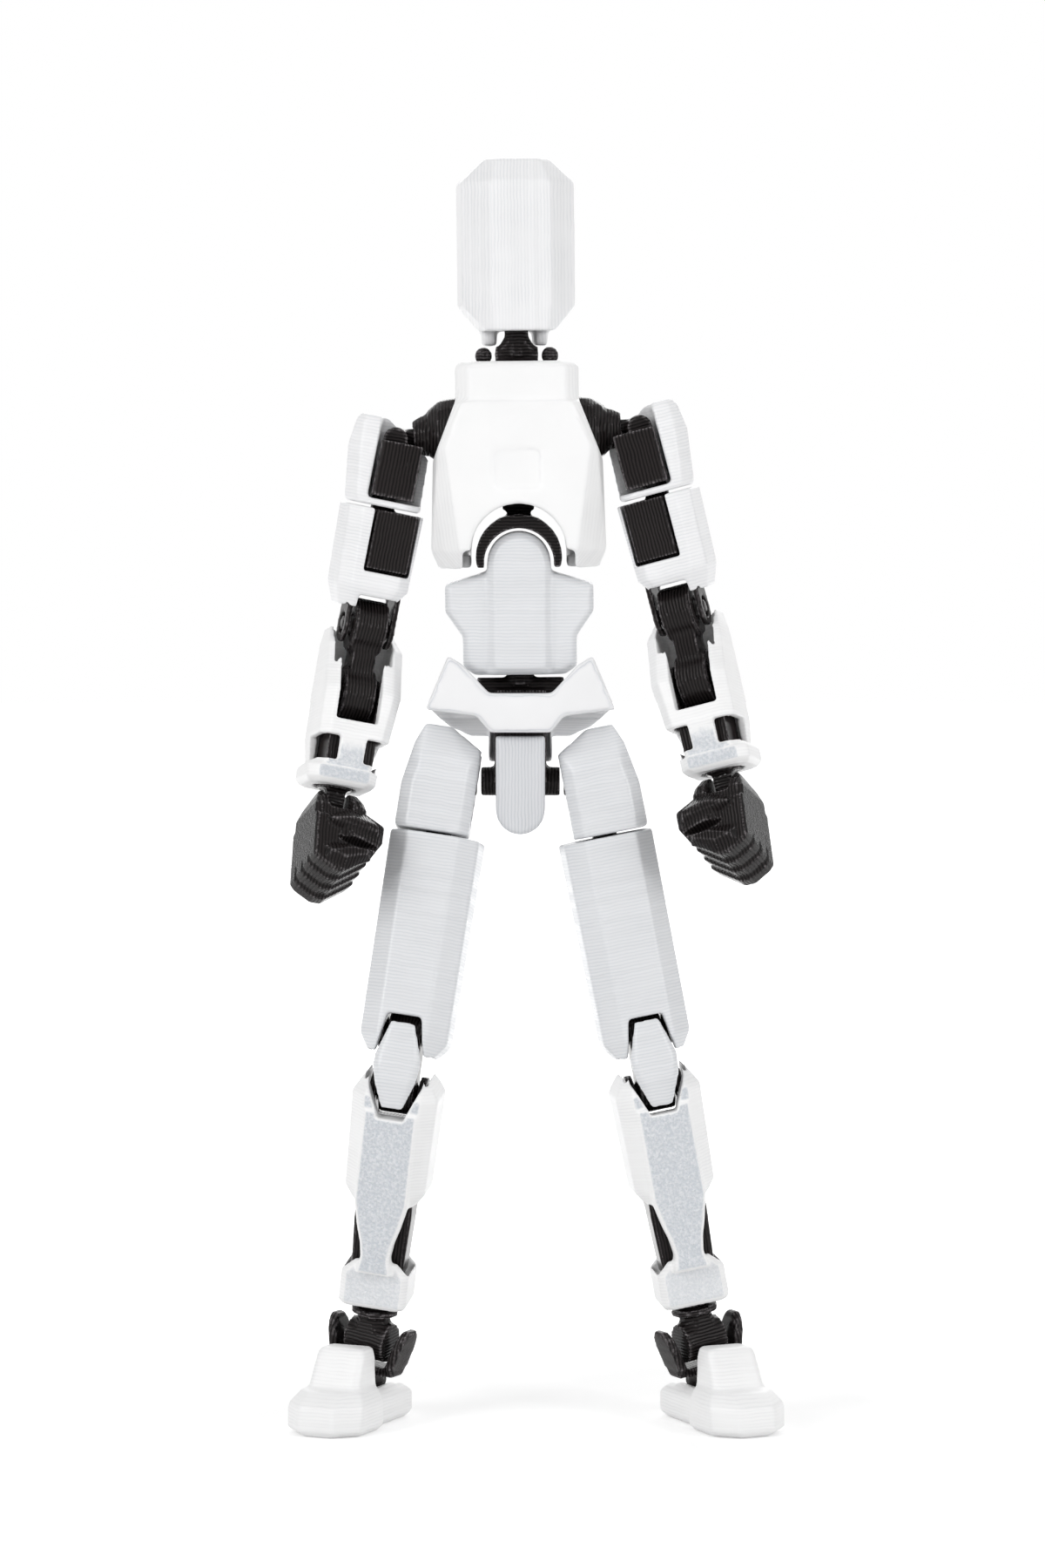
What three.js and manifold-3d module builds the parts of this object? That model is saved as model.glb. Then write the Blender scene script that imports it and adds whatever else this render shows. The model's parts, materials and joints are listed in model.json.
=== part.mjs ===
// A posable action figure, printed in white and glossy black plastic: armour shells over a jointed frame.
// Millimetres, +Z up. The figure faces -Y and stands on Z = 0, with the middle of its footprint at
// the origin.
// Every limb is written for the figure's left side, outward = +X, and mirrored for its right side.
import * as THREE from "three";
import { mergeVertices } from "three/addons/utils/BufferGeometryUtils.js";
import { ConvexGeometry } from "three/addons/geometries/ConvexGeometry.js";
import Module from "manifold-3d";

const wasm = await Module();
wasm.setup();

// Clearances that every joint shares.
const gap = 0.3; // between two pieces that meet or turn in each other
const pinGap = 0.3; // round a pin in its hole

// Head: a faceted mask without a face, on a ball.
const head = {
  width: 12.4, depth: 12.8, cornerCut: 3.0, aboveBall: 17.0, crownWidth: 7.0, crownDepth: 8.6,
  crownDrop: 2.6, jawRise: 1.0, chinWidth: 7.7, chinDepth: 10.0, chinDrop: 1.7, chinHeight: 1.0,
    lobeWidth: 1.8,
  lobeFromMiddle: 1.9, lobeDrop: 3.3, lobeDepth: 3.4,
};
const neck = {
  ballRadius: 2.1, postRadius: 1.4, rise: 4.4, barrelRadius: 1.1, barrelLength: 4.8, flareWidth: 4.8,
  flareRise: 2.0, earLength: 1.9, earRadius: 1.05,
};

// Chest: two shells over a core that holds the neck, both collar balls and the bending hinge.
const chest = {
  width: 19.2, depth: 12.4, waistWidth: 17.6, sideCut: 3.3, shoulderWidth: 13.6, shoulderDepth: 11.6,
  shoulderCut: 0.9, shoulderRise: 1.4, height: 18.2, bottomRise: 2.0, sideTop: 11.8, wall: 1.4,
  collarWidth: 13.5, collarDepth: 10.6, collarHeight: 4.4, collarCut: 1.5, panelLift: 2.0, panelSide: 0.9,
  archGap: 0.45, archLift: 0.65, neckHole: 7.0, coreWidth: 8.6, coreDepth: 9.2, recessWidth: 5.6,
  recessHeight: 4.8, recessDepth: 0.35, recessRise: 10.3,
};
const clavicle = {
  ballRadius: 3.9, fromMiddle: 6.9, aboveDome: 14.4, reach: 6.5, boreDepth: 3.0, snoutReach: 4.6,
    snoutRadius: 1.8,
};

// Diaphragm, abdomen and waist.
const diaphragm = {
  ringThickness: 1.0, crownLift: 0.7, depth: 7.2, hingeRise: 7.1, hingeRadius: 1.4, hingeLength: 3.6,
    legDrop: 0.5,
};
const abdomen = {
  domeRadius: 3.5, depth: 8.6, edgeCut: 0.8, wingWidth: 16.3, wingDepth: 6.8, wingTop: 2.3,
  wingBottom: 5.3, wingShoulder: 0.9, hipWidth: 12.5, hipTop: 8.0, hipBottom: 11.3, footWidth: 9.9,
  coreWidth: 5.0, coreDepth: 4.6,
};
const waist = { barRadius: 1.0, barLength: 9.7, postRadius: 1.5, postHeight: 3.6, clearance: 1.3 };

// Heights between the joints of the trunk.
const domeToNeck = 22.7;
const waistToDome = 13.5;
const hipToWaist = 10.6;

// Pelvis.
const pelvis = {
  peakWidth: 15.8, peakRise: 14.1, notchWidth: 6.8, notchRise: 10.0, shoulderWidth: 12.6,
  shoulderRise: 13.1, wingWidth: 20.8, wingRise: 8.2, legWidth: 9.6, legRise: 7.5, keelWidth: 6.6,
  keelRise: 5.7, front: 6.4, plateThickness: 1.9, bevel: 0.3, back: 6.4, backTop: 10.7,
  backTopWidth: 15.0, backBottom: 2.0, backBottomWidth: 7.4, hipSpread: 16.2, barRadius: 1.7,
  barLength: 8.8, coreWidth: 5.8, coreDepth: 4.4,
};
const groin = { width: 5.4, top: 5.2, drop: 5.6, thickness: 2.6 };

// Hip, thigh and knee.
const hip = {
  knuckleRadius: 2.1, knuckleLength: 4.4, neckRadius: 1.2, washerLength: 0.8, inner: 3.4, outer: 4.9,
  depth: 9.0, wall: 1.9, peakRise: 5.8, peakFrom: 0.2, peakTo: 3.2, innerRise: 3.6, outerRise: -1.0,
  drop: 5.9, floor: 1.4, edgeCut: 1.3, postRadius: 1.5, postHeadRadius: 2.2, postHeadHeight: 0.9,
};
const thigh = {
  hipToKnee: 28.0, topWall: 1.2, width: 10.0, depth: 9.6, edgeCut: 2.2, wall: 1.5, hemDrop: 2.6,
    hemRise: 1.8,
  hemWidth: 7.4, notchTopWidth: 3.8, notchBottomWidth: 5.6, notchRise: 1.7, backNotchRise: 4.6,
};
const knee = {
  span: 6.6, discRadius: 2.5, width: 3.9, waistDepth: 3.4, earThickness: 0.9, pinRadius: 0.9,
  capWidth: 5.3, capTopWidth: 2.7, capBottomWidth: 2.4, capAbove: 1.5, capBelow: 1.5, capFront: 5.3,
  capThickness: 1.5, capSlope: 0.9,
};
const shin = {
  kneeToAnkle: 28.6, width: 9.6, depth: 8.8, edgeCut: 1.7, wall: 1.5, topRise: 2.7, topWidth: 6.6,
  panelDrop: 2.1, calfBottom: 12.2, calfHemWidth: 6.8, stripWidth: 6.0, stripProud: 0.3,
  neckTop: 14.6, neckBottom: 18.0, neckWidth: 3.2, blockTop: 19.7, blockBottom: 24.2, blockWidth: 7.6,
    blockDepth: 7.0, blockCut: 0.7,
  frameWidth: 6.5, frameDepth: 4.2, postRadius: 2.6,
};
const ankle = {
  barrelRadius: 2.3, barrelLength: 5.0, postRadius: 1.4, flangeRadius: 2.7, flangeHeight: 0.8,
  earThickness: 1.2, earDepth: 4.2, earRise: 2.1, keelRadius: 1.5, keelDrop: 4.9, keelLength: 5.4,
  strapThickness: 1.0,
};
const foot = {
  ankleHeight: 9.3, toe: 12.4, heel: 5.9, toeWidth: 9.2, ballWidth: 9.0, heelWidth: 7.2,
  toeHeight: 4.7, heelHeight: 3.6, soleCut: 0.7, instepWidth: 5.9, instepTop: 9.0, instepFront: 6.0,
  instepSlope: 2.8, cornerCut: 2.4, toeFlank: 3.3,
};

// Shoulder, upper arm and elbow.
const shoulder = {
  knuckleRadius: 1.45, knuckleLength: 4.0, neckRadius: 1.1, frameInner: 3.3, frameOuter: 1.5,
  frameFront: 3.6, frameBack: 2.0, frameTop: 0.2, frameBottom: 6.45, hingeWall: 1.4, armourInner: 4.1,
  armourOuter: 5.0, armourDepth: 8.2, armourTop: 2.2, crownInner: 0.6, crownOuter: 4.1,
  flangeThickness: 0.7, edgeCut: 1.5, postRadius: 1.4, postLength: 1.6, turnDrop: 7.8,
};
const upperArm = {
  frameInner: 3.4, frameOuter: 1.3, frameLength: 6.6, armourInner: 4.2, armourOuter: 4.3,
  armourDepth: 8.2, armourLength: 11.0, hemInner: 3.2, hemOuter: 3.2, hemRise: 2.4,
  turnToElbow: 13.0, edgeCut: 1.5, elbowInset: 0.8,
};
const elbow = {
  span: 7.7, discRadius: 3.1, width: 3.8, waistWidth: 2.8, waistDepth: 3.8, earThickness: 0.7,
    earRadius: 2.2,
  pinRadius: 0.9,
};

// Forearm, wrist and hand.
const forearm = {
  middle: -0.3, width: 8.6, depth: 8.6, wall: 0.9, top: 7.4, topSlope: 1.4, slotBottom: 3.4,
  windowTop: 5.2, windowBottom: 7.9, strutFrom: 1.3, strutTo: 1.6, cuffTop: 8.1, cuffBottom: 10.6,
  cuffMiddle: 0.6, cuffWidth: 7.9, cuffDepth: 7.8, cuffCut: 1.1, frameWidth: 5.8, edgeCut: 1.1,
  frameTop: 4.2,
};
const wrist = { postRadius: 2.1, postHeight: 2.0, pivotDrop: 1.7, eyeRadius: 1.3, eyeWidth: 2.2 };
const hand = {
  palmWidth: 5.9, palmTop: 1.1, fingerDepth: 2.1, fingers: 4, knuckleDrop: 8.3, fingerDrop: 9.3,
  tipReach: 3.8, tipDrop: 7.5, thumbReach: 4.8, thumbTop: 1.7, thumbBottom: 6.7, thumbDepth: 3.0,
  thumbProud: 0.6, groove: 0.25, fingerStep: 0.35,
};

// The stance in the picture, in degrees. The two sides differ a little, as set by hand.
const stance = {
  lean: -0.65, headTurn: 5.5, legTurn: 7, footTurn: 18, armForward: 1, armTurn: -14,
  elbowUpper: 5, elbowLower: 7, wristTurn: -4, wristBend: 15,
  right: { side: -1, legOut: 8.9, shrug: -7.2, armOut: 11.3 },
  left: { side: 1, legOut: 11.2, shrug: 3.4, armOut: 15.0 },
};

// Materials, with the colours and shine of the two plastics.
const white = { color: 0xf1f1ef, roughness: 0.42, metalness: 0.0 };
const black = { color: 0x111113, roughness: 0.22, metalness: 0.0 };

// A closed geometry as a solid that can be joined and cut, and back again.
function toSolid(geometry) {
  const bare = geometry.clone();
  bare.deleteAttribute("normal");
  bare.deleteAttribute("uv");
  const merged = mergeVertices(bare, 1e-5);
  return new wasm.Manifold(new wasm.Mesh({
    numProp: 3,
    vertProperties: new Float32Array(merged.getAttribute("position").array),
    triVerts: new Uint32Array(merged.index.array),
  }));
}

function toGeometry(solid) {
  const mesh = solid.getMesh();
  return new THREE.BufferGeometry()
    .setAttribute("position", new THREE.BufferAttribute(new Float32Array(mesh.vertProperties), 3))
    .setIndex(new THREE.BufferAttribute(new Uint32Array(mesh.triVerts), 1));
}

const join = (...parts) => toGeometry(parts.map(toSolid).reduce((a, b) => a.add(b)));
const cut = (whole, ...tools) =>
  toGeometry(tools.map(toSolid).reduce((a, b) => a.subtract(b), toSolid(whole)));
const common = (...parts) => toGeometry(parts.map(toSolid).reduce((a, b) => a.intersect(b)));

// A box given by its limits along X, Y and Z.
function box([x0, x1], [y0, y1], [z0, z1]) {
  return new THREE.BoxGeometry(x1 - x0, y1 - y0, z1 - z0)
    .translate((x0 + x1) / 2, (y0 + y1) / 2, (z0 + z1) / 2);
}

// Round bars along each axis, from one end to the other, through the point given.
function rodX(radius, [x0, x1], y = 0, z = 0, sides = 12) {
  return new THREE.CylinderGeometry(radius, radius, x1 - x0, sides)
    .rotateZ(Math.PI / 2).translate((x0 + x1) / 2, y, z);
}
function rodY(radius, [y0, y1], x = 0, z = 0, sides = 12) {
  return new THREE.CylinderGeometry(radius, radius, y1 - y0, sides).translate(x, (y0 + y1) / 2, z);
}
function rodZ(radius, [z0, z1], x = 0, y = 0, sides = 12) {
  return new THREE.CylinderGeometry(radius, radius, z1 - z0, sides)
    .rotateY(Math.PI / sides).rotateX(Math.PI / 2).translate(x, y, (z0 + z1) / 2);
}
const ball = (radius, x = 0, y = 0, z = 0) =>
  new THREE.SphereGeometry(radius, 12, 8).rotateX(Math.PI / 2).translate(x, y, z);

// An armour form: the convex skin over rectangles with cut corners, each at its own height.
// A rectangle is { z, x: [from, to], y: [from, to], cut }.
function armour(...rings) {
  const points = [];
  for (const { z, x, y, cut: c } of rings)
    for (const [px, py] of [[x[0] + c, y[0]], [x[1] - c, y[0]], [x[1], y[0] + c], [x[1], y[1] - c],
      [x[1] - c, y[1]], [x[0] + c, y[1]], [x[0], y[1] - c], [x[0], y[0] + c]])
      points.push(new THREE.Vector3(px, py, z));
  return new ConvexGeometry(points);
}
const about = (middle, size) => [middle - size / 2, middle + size / 2];

// The outline of a rectangle with cut corners, round a point on the middle line.
const cutCorners = (width, height, corner, middle) => {
  const x = width / 2, z = height / 2;
  return [[x, z - corner], [x - corner, z], [corner - x, z], [-x, z - corner], [-x, corner - z],
    [corner - x, -z], [x - corner, -z], [x, corner - z]].map(([px, pz]) => [px, pz + middle]);
};

// A plate cut to a front outline of [x, z] points, from one Y to another, with bevelled rims.
function plate(outline, [y0, y1], bevel = 0) {
  const shape = new THREE.Shape(outline.map(([x, z]) => new THREE.Vector2(x, z)));
  const depth = y1 - y0 - 2 * bevel;
  return new THREE.ExtrudeGeometry(shape, {
    depth, steps: 1, bevelEnabled: bevel > 0, bevelThickness: bevel, bevelSize: bevel,
    bevelOffset: -bevel, bevelSegments: 1, curveSegments: 1,
  }).rotateX(Math.PI / 2).translate(0, y1 - bevel, 0);
}

// The same kind of plate cut to a side outline of [y, z] points, from one X to another.
function sidePlate(outline, [x0, x1], bevel = 0) {
  const shape = new THREE.Shape(outline.map(([y, z]) => new THREE.Vector2(y, z)));
  const depth = x1 - x0 - 2 * bevel;
  return new THREE.ExtrudeGeometry(shape, {
    depth, steps: 1, bevelEnabled: bevel > 0, bevelThickness: bevel, bevelSize: bevel,
    bevelOffset: -bevel, bevelSegments: 1, curveSegments: 1,
  }).rotateY(Math.PI / 2).rotateX(Math.PI / 2).translate(x0 + bevel, 0, 0);
}

// Points on an arc round (x, z), in degrees from +X towards +Z.
function arc(x, z, radius, from, to, steps) {
  return Array.from({ length: steps + 1 }, (_, i) => {
    const a = THREE.MathUtils.degToRad(from + ((to - from) * i) / steps);
    return [x + radius * Math.cos(a), z + radius * Math.sin(a)];
  });
}
const mirrorPoints = (half) => [...half, ...half.map(([x, z]) => [-x, z]).reverse()];

// The figure is a group of bodies, each a group whose origin is the joint that carries it.
const figure = new THREE.Group();
const meshes = [];

function body(position, turn) {
  const group = new THREE.Group();
  group.position.copy(position);
  group.quaternion.copy(turn);
  group.updateMatrixWorld(true);
  return group;
}

function addMesh(group, name, geometry, look, side = 1) {
  const shape = side < 0 ? mirrored(geometry) : geometry;
  shape.computeVertexNormals();
  const mesh = new THREE.Mesh(shape, new THREE.MeshStandardMaterial({ ...look, flatShading: true }));
  mesh.name = name;
  group.add(mesh);
  meshes.push(mesh);
  return mesh;
}

// The other side's piece: X is negated, and two corners of each face are swapped to face out again.
function mirrored(geometry) {
  const bare = geometry.clone();
  bare.deleteAttribute("normal");
  bare.deleteAttribute("uv");
  const other = mergeVertices(bare, 1e-5).scale(-1, 1, 1);
  const corners = other.index.array;
  for (let i = 0; i < corners.length; i += 3) {
    const second = corners[i + 1];
    corners[i + 1] = corners[i + 2];
    corners[i + 2] = second;
  }
  return other;
}

// A limb's direction: swung forward, then raised outward, then turned about its own length.
function aim(side, forward, outward, turn = 0) {
  const rad = THREE.MathUtils.degToRad;
  const about = (axis, angle) => new THREE.Quaternion().setFromAxisAngle(axis, rad(angle));
  return about(new THREE.Vector3(1, 0, 0), -forward)
    .multiply(about(new THREE.Vector3(0, 1, 0), -side * outward))
    .multiply(about(new THREE.Vector3(0, 0, 1), side * turn));
}
// The same direction, turned further about one of its own axes.
function turned(quaternion, [x, y, z], angle) {
  return quaternion.clone().multiply(
    new THREE.Quaternion().setFromAxisAngle(new THREE.Vector3(x, y, z), THREE.MathUtils.degToRad(angle)));
}
const X = [1, 0, 0], Y = [0, 1, 0], Z = [0, 0, 1];
const place = (group, x, y, z) => group.localToWorld(new THREE.Vector3(x, y, z));

// Trunk pieces. Each is written round its own body's origin.

function pelvisFrontPlate() {
  const p = pelvis;
  const half = [[p.notchWidth / 2, p.notchRise], [p.shoulderWidth / 2, p.shoulderRise],
    [p.peakWidth / 2, p.peakRise], [p.wingWidth / 2, p.wingRise], [p.legWidth / 2, p.legRise],
    [p.keelWidth / 2, p.keelRise]];
  return plate(mirrorPoints(half).reverse(), [-p.front, -p.front + p.plateThickness], p.bevel);
}

// The hips swing inside this round clearance, so the pelvis stays outside it.
function hipSweep(side) {
  const radius = Math.hypot(hip.peakRise, hip.depth / 2 - hip.edgeCut) + 3 * gap;
  const inner = pelvis.hipSpread / 2 - hip.inner - 4 * gap;
  const rod = rodX(radius, [inner, pelvis.wingWidth], 0, 0, 24);
  return side < 0 ? mirrored(rod) : rod;
}

function pelvisBackShell() {
  const p = pelvis;
  const inside = p.coreDepth / 2 + gap;
  const shell = armour(
    { z: p.backTop, x: about(0, p.backTopWidth), y: [inside, p.back - 1], cut: 1 },
    { z: p.wingRise + 0.8, x: about(0, p.wingWidth - 0.6), y: [-p.front + p.plateThickness + gap,
      p.back], cut: 1 },
    { z: p.wingRise - 0.4, x: about(0, p.wingWidth - 0.6), y: [-p.front + p.plateThickness + gap,
      p.back], cut: 1 },
    { z: p.backBottom, x: about(0, p.backBottomWidth), y: [inside - 1, p.back - 0.8], cut: 1 },
  );
  const room = box(about(0, p.coreWidth + 2 * gap), [-20, inside], [-1, 20]);
  const waistRoom = rodX(waistSweep(), [-20, 20], 0, hipToWaist, 24);
  return cut(shell, room, waistRoom, hipSweep(1), hipSweep(-1));
}

// What the foot of the abdomen sweeps when it bends at the waist.
const waistSweep = () => Math.hypot(abdomen.depth / 2, waist.clearance) + 2 * gap;

function pelvisCore() {
  const p = pelvis;
  const top = hipToWaist - 0.4;
  const block = box(about(0, p.coreWidth), about(0, p.coreDepth), [0, top]);
  const bar = rodX(p.barRadius, about(0, p.barLength));
  return cut(join(block, bar), rodX(waist.barRadius + gap, [-10, 10], 0, hipToWaist));
}

function groinPlate() {
  const half = groin.width / 2;
  const outline = [[half, groin.top], ...arc(0, -groin.drop + half, half, 0, -180, 8), [-half, groin.top]];
  const back = -Math.max(pelvis.barRadius, pelvis.coreDepth / 2) - gap;
  return plate(outline.reverse(), [back - groin.thickness, back], 0.4);
}

function waistBar() {
  const post = rodZ(waist.postRadius, [0, waist.postHeight]);
  return join(rodX(waist.barRadius, about(0, waist.barLength)), post);
}

function abdomenOutlines() {
  const a = abdomen;
  const foot = -waistToDome + waist.clearance;
  const spine = [...arc(0, 0, a.domeRadius, 0, 180, 12), [-a.domeRadius, foot], [a.domeRadius, foot]];
  const wing = mirrorPoints([[a.domeRadius, -a.wingShoulder], [a.wingWidth / 2, -a.wingTop],
    [a.wingWidth / 2, -a.wingBottom], [a.hipWidth / 2, -a.hipTop], [a.hipWidth / 2, -a.hipBottom],
    [a.footWidth / 2, foot]]);
  return { spine, wing: wing.reverse(), foot };
}

function abdomenShell() {
  const a = abdomen;
  const { spine, wing, foot } = abdomenOutlines();
  const solid = join(plate(spine, about(0, a.depth), a.edgeCut), plate(wing, about(0, a.wingDepth), 0.6));
  const room = box(about(0, a.coreWidth + 2 * gap), about(0, a.coreDepth + 2 * gap), [foot - 1,
    -a.wingTop + gap]);
  return cut(solid, room);
}

function abdomenCore() {
  const a = abdomen;
  const { foot } = abdomenOutlines();
  const block = box(about(0, a.coreWidth), about(0, a.coreDepth), [foot, -a.wingTop]);
  const hole = rodZ(waist.postRadius + pinGap, [foot - 1, -waistToDome + waist.postHeight + gap]);
  return cut(block, hole);
}

function diaphragmSocket() {
  const d = diaphragm;
  const inner = abdomen.domeRadius + gap;
  const outer = inner + d.ringThickness;
  const lowOut = THREE.MathUtils.radToDeg(Math.asin((d.legDrop + d.crownLift) / outer));
  const lowIn = THREE.MathUtils.radToDeg(Math.asin(d.legDrop / inner));
  const ring = plate([...arc(0, d.crownLift, outer, -lowOut, 180 + lowOut, 16), ...arc(0, 0, inner,
    180 + lowIn, -lowIn, 16)],
    about(0, d.depth));
  const lug = box(about(0, d.hingeLength - 1.0), [0, d.hingeRadius], [outer + d.crownLift - 0.5,
    d.hingeRise]);
  return join(ring, lug, rodX(d.hingeRadius, about(0, d.hingeLength), 0, d.hingeRise));
}

// The chest is written round the diaphragm's hinge, and z here counts from the dome's centre.
const fromHinge = -diaphragm.hingeRise;
const chestSole = -0.5;
const chestTop = chestSole + chest.height;
const archRadius = () => abdomen.domeRadius + gap + diaphragm.ringThickness + chest.archGap;

function chestForm(inset) {
  const c = chest;
  const w = (size) => about(0, size - 2 * inset);
  const cutBy = Math.max(c.sideCut - inset * 0.6, 0.2);
  const share = c.shoulderRise / (c.height - c.sideTop);
  const blend = THREE.MathUtils.lerp;
  return armour(
    { z: chestSole + inset, x: w(c.waistWidth), y: w(c.depth - 1.6), cut: cutBy },
    { z: chestSole + c.bottomRise, x: w(c.width), y: w(c.depth), cut: cutBy },
    { z: chestSole + c.sideTop, x: w(c.width - 0.6), y: w(c.depth), cut: cutBy },
    { z: chestSole + c.sideTop + c.shoulderRise, x: w(blend(c.width - 0.6, c.shoulderWidth, share)),
      y: w(blend(c.depth, c.shoulderDepth, share)), cut: c.shoulderCut },
    { z: chestTop - inset, x: w(c.shoulderWidth), y: w(c.shoulderDepth), cut: c.shoulderCut },
  );
}

function collarForm(inset) {
  const c = chest;
  const w = (size) => about(0, size - 2 * inset);
  return armour(
    { z: chestTop - c.wall, x: w(c.collarWidth), y: w(c.collarDepth), cut: c.collarCut },
    { z: chestTop + c.collarHeight - 0.6, x: w(c.collarWidth), y: w(c.collarDepth), cut: c.collarCut },
    { z: chestTop + c.collarHeight - inset, x: w(c.collarWidth - 1.2), y: w(c.collarDepth - 1.2),
      cut: c.collarCut },
  );
}

function chestShell(front) {
  const c = chest;
  const keep = front ? [-20, -gap / 2] : [gap / 2, 20];
  const whole = join(chestForm(0), collarForm(0));
  const hollow = join(chestForm(c.wall), collarForm(c.wall));
  const crown = diaphragm.crownLift + c.archLift;
  const arch = rodY(archRadius(), [-20, 20], 0, crown, 24);
  const lift = box(about(0, 2 * archRadius()), [-20, 20], [-20, crown]);
  const panel = box(about(0, 2 * (archRadius() + c.panelSide)), [-20, 0], [-20, chestSole + c.panelLift]);
  const neckRoom = box(about(0, c.neckHole + 2 * neck.earLength), about(0, 5), [chestTop, 40]);
  const sockets = [-1, 1].map((s) => ball(clavicle.ballRadius + gap + 0.05, s * clavicle.fromMiddle, 0,
    clavicle.aboveDome));
  const recess = plate(cutCorners(c.recessWidth, c.recessHeight, 0.7, c.recessRise), [-20,
    -c.depth / 2 + c.recessDepth]);
  return cut(common(whole, box([-20, 20], keep, [-5, 40])), hollow, arch, lift, panel, neckRoom,
    recess, ...sockets)
    .translate(0, 0, fromHinge);
}

function chestCore() {
  const c = chest;
  const collar = chestTop + c.collarHeight - 0.7;
  const spine = common(chestForm(c.wall + gap),
    box(about(0, c.coreWidth), about(0, c.coreDepth), [diaphragm.hingeRise - 0.4,
      chestTop - c.wall - 1.2]));
  const shaft = box(about(0, 6.4), about(0, 4), [chestTop - 4, collar]);
  const sockets = [-1, 1].map((s) => ball(clavicle.ballRadius + gap, s * clavicle.fromMiddle, 0,
    clavicle.aboveDome));
  const hingeRoom = join(
    rodX(diaphragm.hingeRadius + gap, about(0, diaphragm.hingeLength + 2 * gap), 0, diaphragm.hingeRise),
    box(about(0, diaphragm.hingeLength + 2 * gap), about(0, 2 * (diaphragm.hingeRadius + gap) + 0.8),
      [0, diaphragm.hingeRise]));
  const ears = [-1, 1].flatMap((s) => {
    const x = [neck.barrelLength / 2 + gap, neck.barrelLength / 2 + gap + neck.earLength];
    const both = s < 0 ? [-x[1], -x[0]] : x;
    const middle = (both[0] + both[1]) / 2;
    return [ball(neck.earRadius, middle, 0, domeToNeck), box(about(middle, 1.3), about(0, 1.3),
      [collar - 0.6, domeToNeck])];
  });
  const deck = box(about(0, neck.barrelLength + 2 * (gap + neck.earLength)), about(0, 3.2),
    [collar - 1.4, collar]);
  return cut(join(spine, shaft, deck, ...ears), ...sockets, hingeRoom).translate(0, 0, fromHinge);
}

function neckLink() {
  const barrel = rodX(neck.barrelRadius, about(0, neck.barrelLength));
  const flare = armour(
    { z: 0.1, x: about(0, neck.flareWidth + 0.2), y: about(0, 2 * neck.barrelRadius - 0.2), cut: 0.5 },
    { z: 0.9, x: about(0, neck.flareWidth - 0.6), y: about(0, 2 * neck.barrelRadius), cut: 0.6 },
    { z: neck.flareRise, x: about(0, 2 * neck.postRadius), y: about(0, 2 * neck.postRadius - 0.3),
      cut: 0.8 });
  return join(barrel, flare, rodZ(neck.postRadius, [0, neck.rise]), ball(neck.ballRadius, 0, 0, neck.rise));
}

function headShell() {
  const h = head;
  const skull = armour(
    { z: h.aboveBall, x: about(0, h.crownWidth), y: about(0, h.crownDepth), cut: 1.2 },
    { z: h.aboveBall - h.crownDrop, x: about(0, h.width), y: about(0, h.depth), cut: h.cornerCut },
    { z: h.jawRise, x: about(0, h.width), y: about(0, h.depth), cut: h.cornerCut },
    { z: -h.chinDrop + h.chinHeight, x: about(0, h.chinWidth + 0.1), y: about(-0.7, h.chinDepth + 0.6),
      cut: 0.9 },
    { z: -h.chinDrop, x: about(0, h.chinWidth), y: about(-0.9, h.chinDepth), cut: 0.8 });
  const lobes = [-1, 1].map((s) => armour(
    { z: -h.lobeDrop, x: about(s * (h.lobeFromMiddle + h.lobeWidth / 2), h.lobeWidth - 0.3),
      y: about(2.2, h.lobeDepth - 0.6), cut: 0.2 },
    { z: 0, x: about(s * (h.lobeFromMiddle + h.lobeWidth / 2), h.lobeWidth), y: about(2.2,
      h.lobeDepth), cut: 0.3 }));
  const socket = ball(neck.ballRadius + gap);
  const throat = rodZ(neck.postRadius + 1.0, [-6, 0]);
  return cut(join(skull, ...lobes), socket, throat);
}

// Leg pieces, outward = +X, front = -Y.

function hipLink() {
  const h = hip;
  const barEnd = pelvis.barLength / 2 + gap - pelvis.hipSpread / 2;
  return join(rodY(h.knuckleRadius, about(0, h.knuckleLength)),
    rodX(h.neckRadius, [barEnd, 0]),
    rodX(pelvis.barRadius, [barEnd, barEnd + h.washerLength]));
}

function hipArmour() {
  const h = hip;
  const y = about(0, h.depth);
  const yTop = about(0, h.depth - 2 * h.edgeCut);
  const body = armour(
    { z: h.peakRise, x: [h.peakFrom, h.peakTo], y: yTop, cut: 0.1 },
    { z: h.innerRise, x: [-h.inner, h.peakTo + 0.9], y: yTop, cut: 0.1 },
    { z: h.innerRise - 2.2, x: [-h.inner, h.outer - 0.5], y, cut: h.edgeCut },
    { z: h.outerRise, x: [-h.inner, h.outer], y, cut: h.edgeCut },
    { z: -h.drop, x: [-h.inner, h.outer], y, cut: h.edgeCut });
  const inside = about(0, h.depth - 2 * h.wall);
  const room = box([-20, 0.6], inside, [-h.drop + h.floor, 20]);
  const knuckle = rodY(h.knuckleRadius + gap, inside);
  const pocket = box([0, h.knuckleRadius + gap - 0.1], inside, [-h.drop + h.floor, 0]);
  const post = rodZ(h.postRadius + pinGap, [-20, 0]);
  return cut(body, room, knuckle, pocket, post);
}

// The thigh is written round the turning joint under the hip armour.
const thighTop = -hip.drop - gap;
const kneeBelowTurn = -thigh.hipToKnee - thighTop;

function kneeEars(z, reach, outer) {
  const k = knee;
  const inner = k.width / 2 + gap;
  return [-1, 1].flatMap((s) => {
    const x = s < 0 ? [-inner - k.earThickness, -inner] : [inner, inner + k.earThickness];
    const bar = z < reach ? [z, reach] : [reach, z];
    return [rodX(outer, x, 0, z), box(x, about(0, 2 * outer * 0.92), bar)];
  });
}

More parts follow.
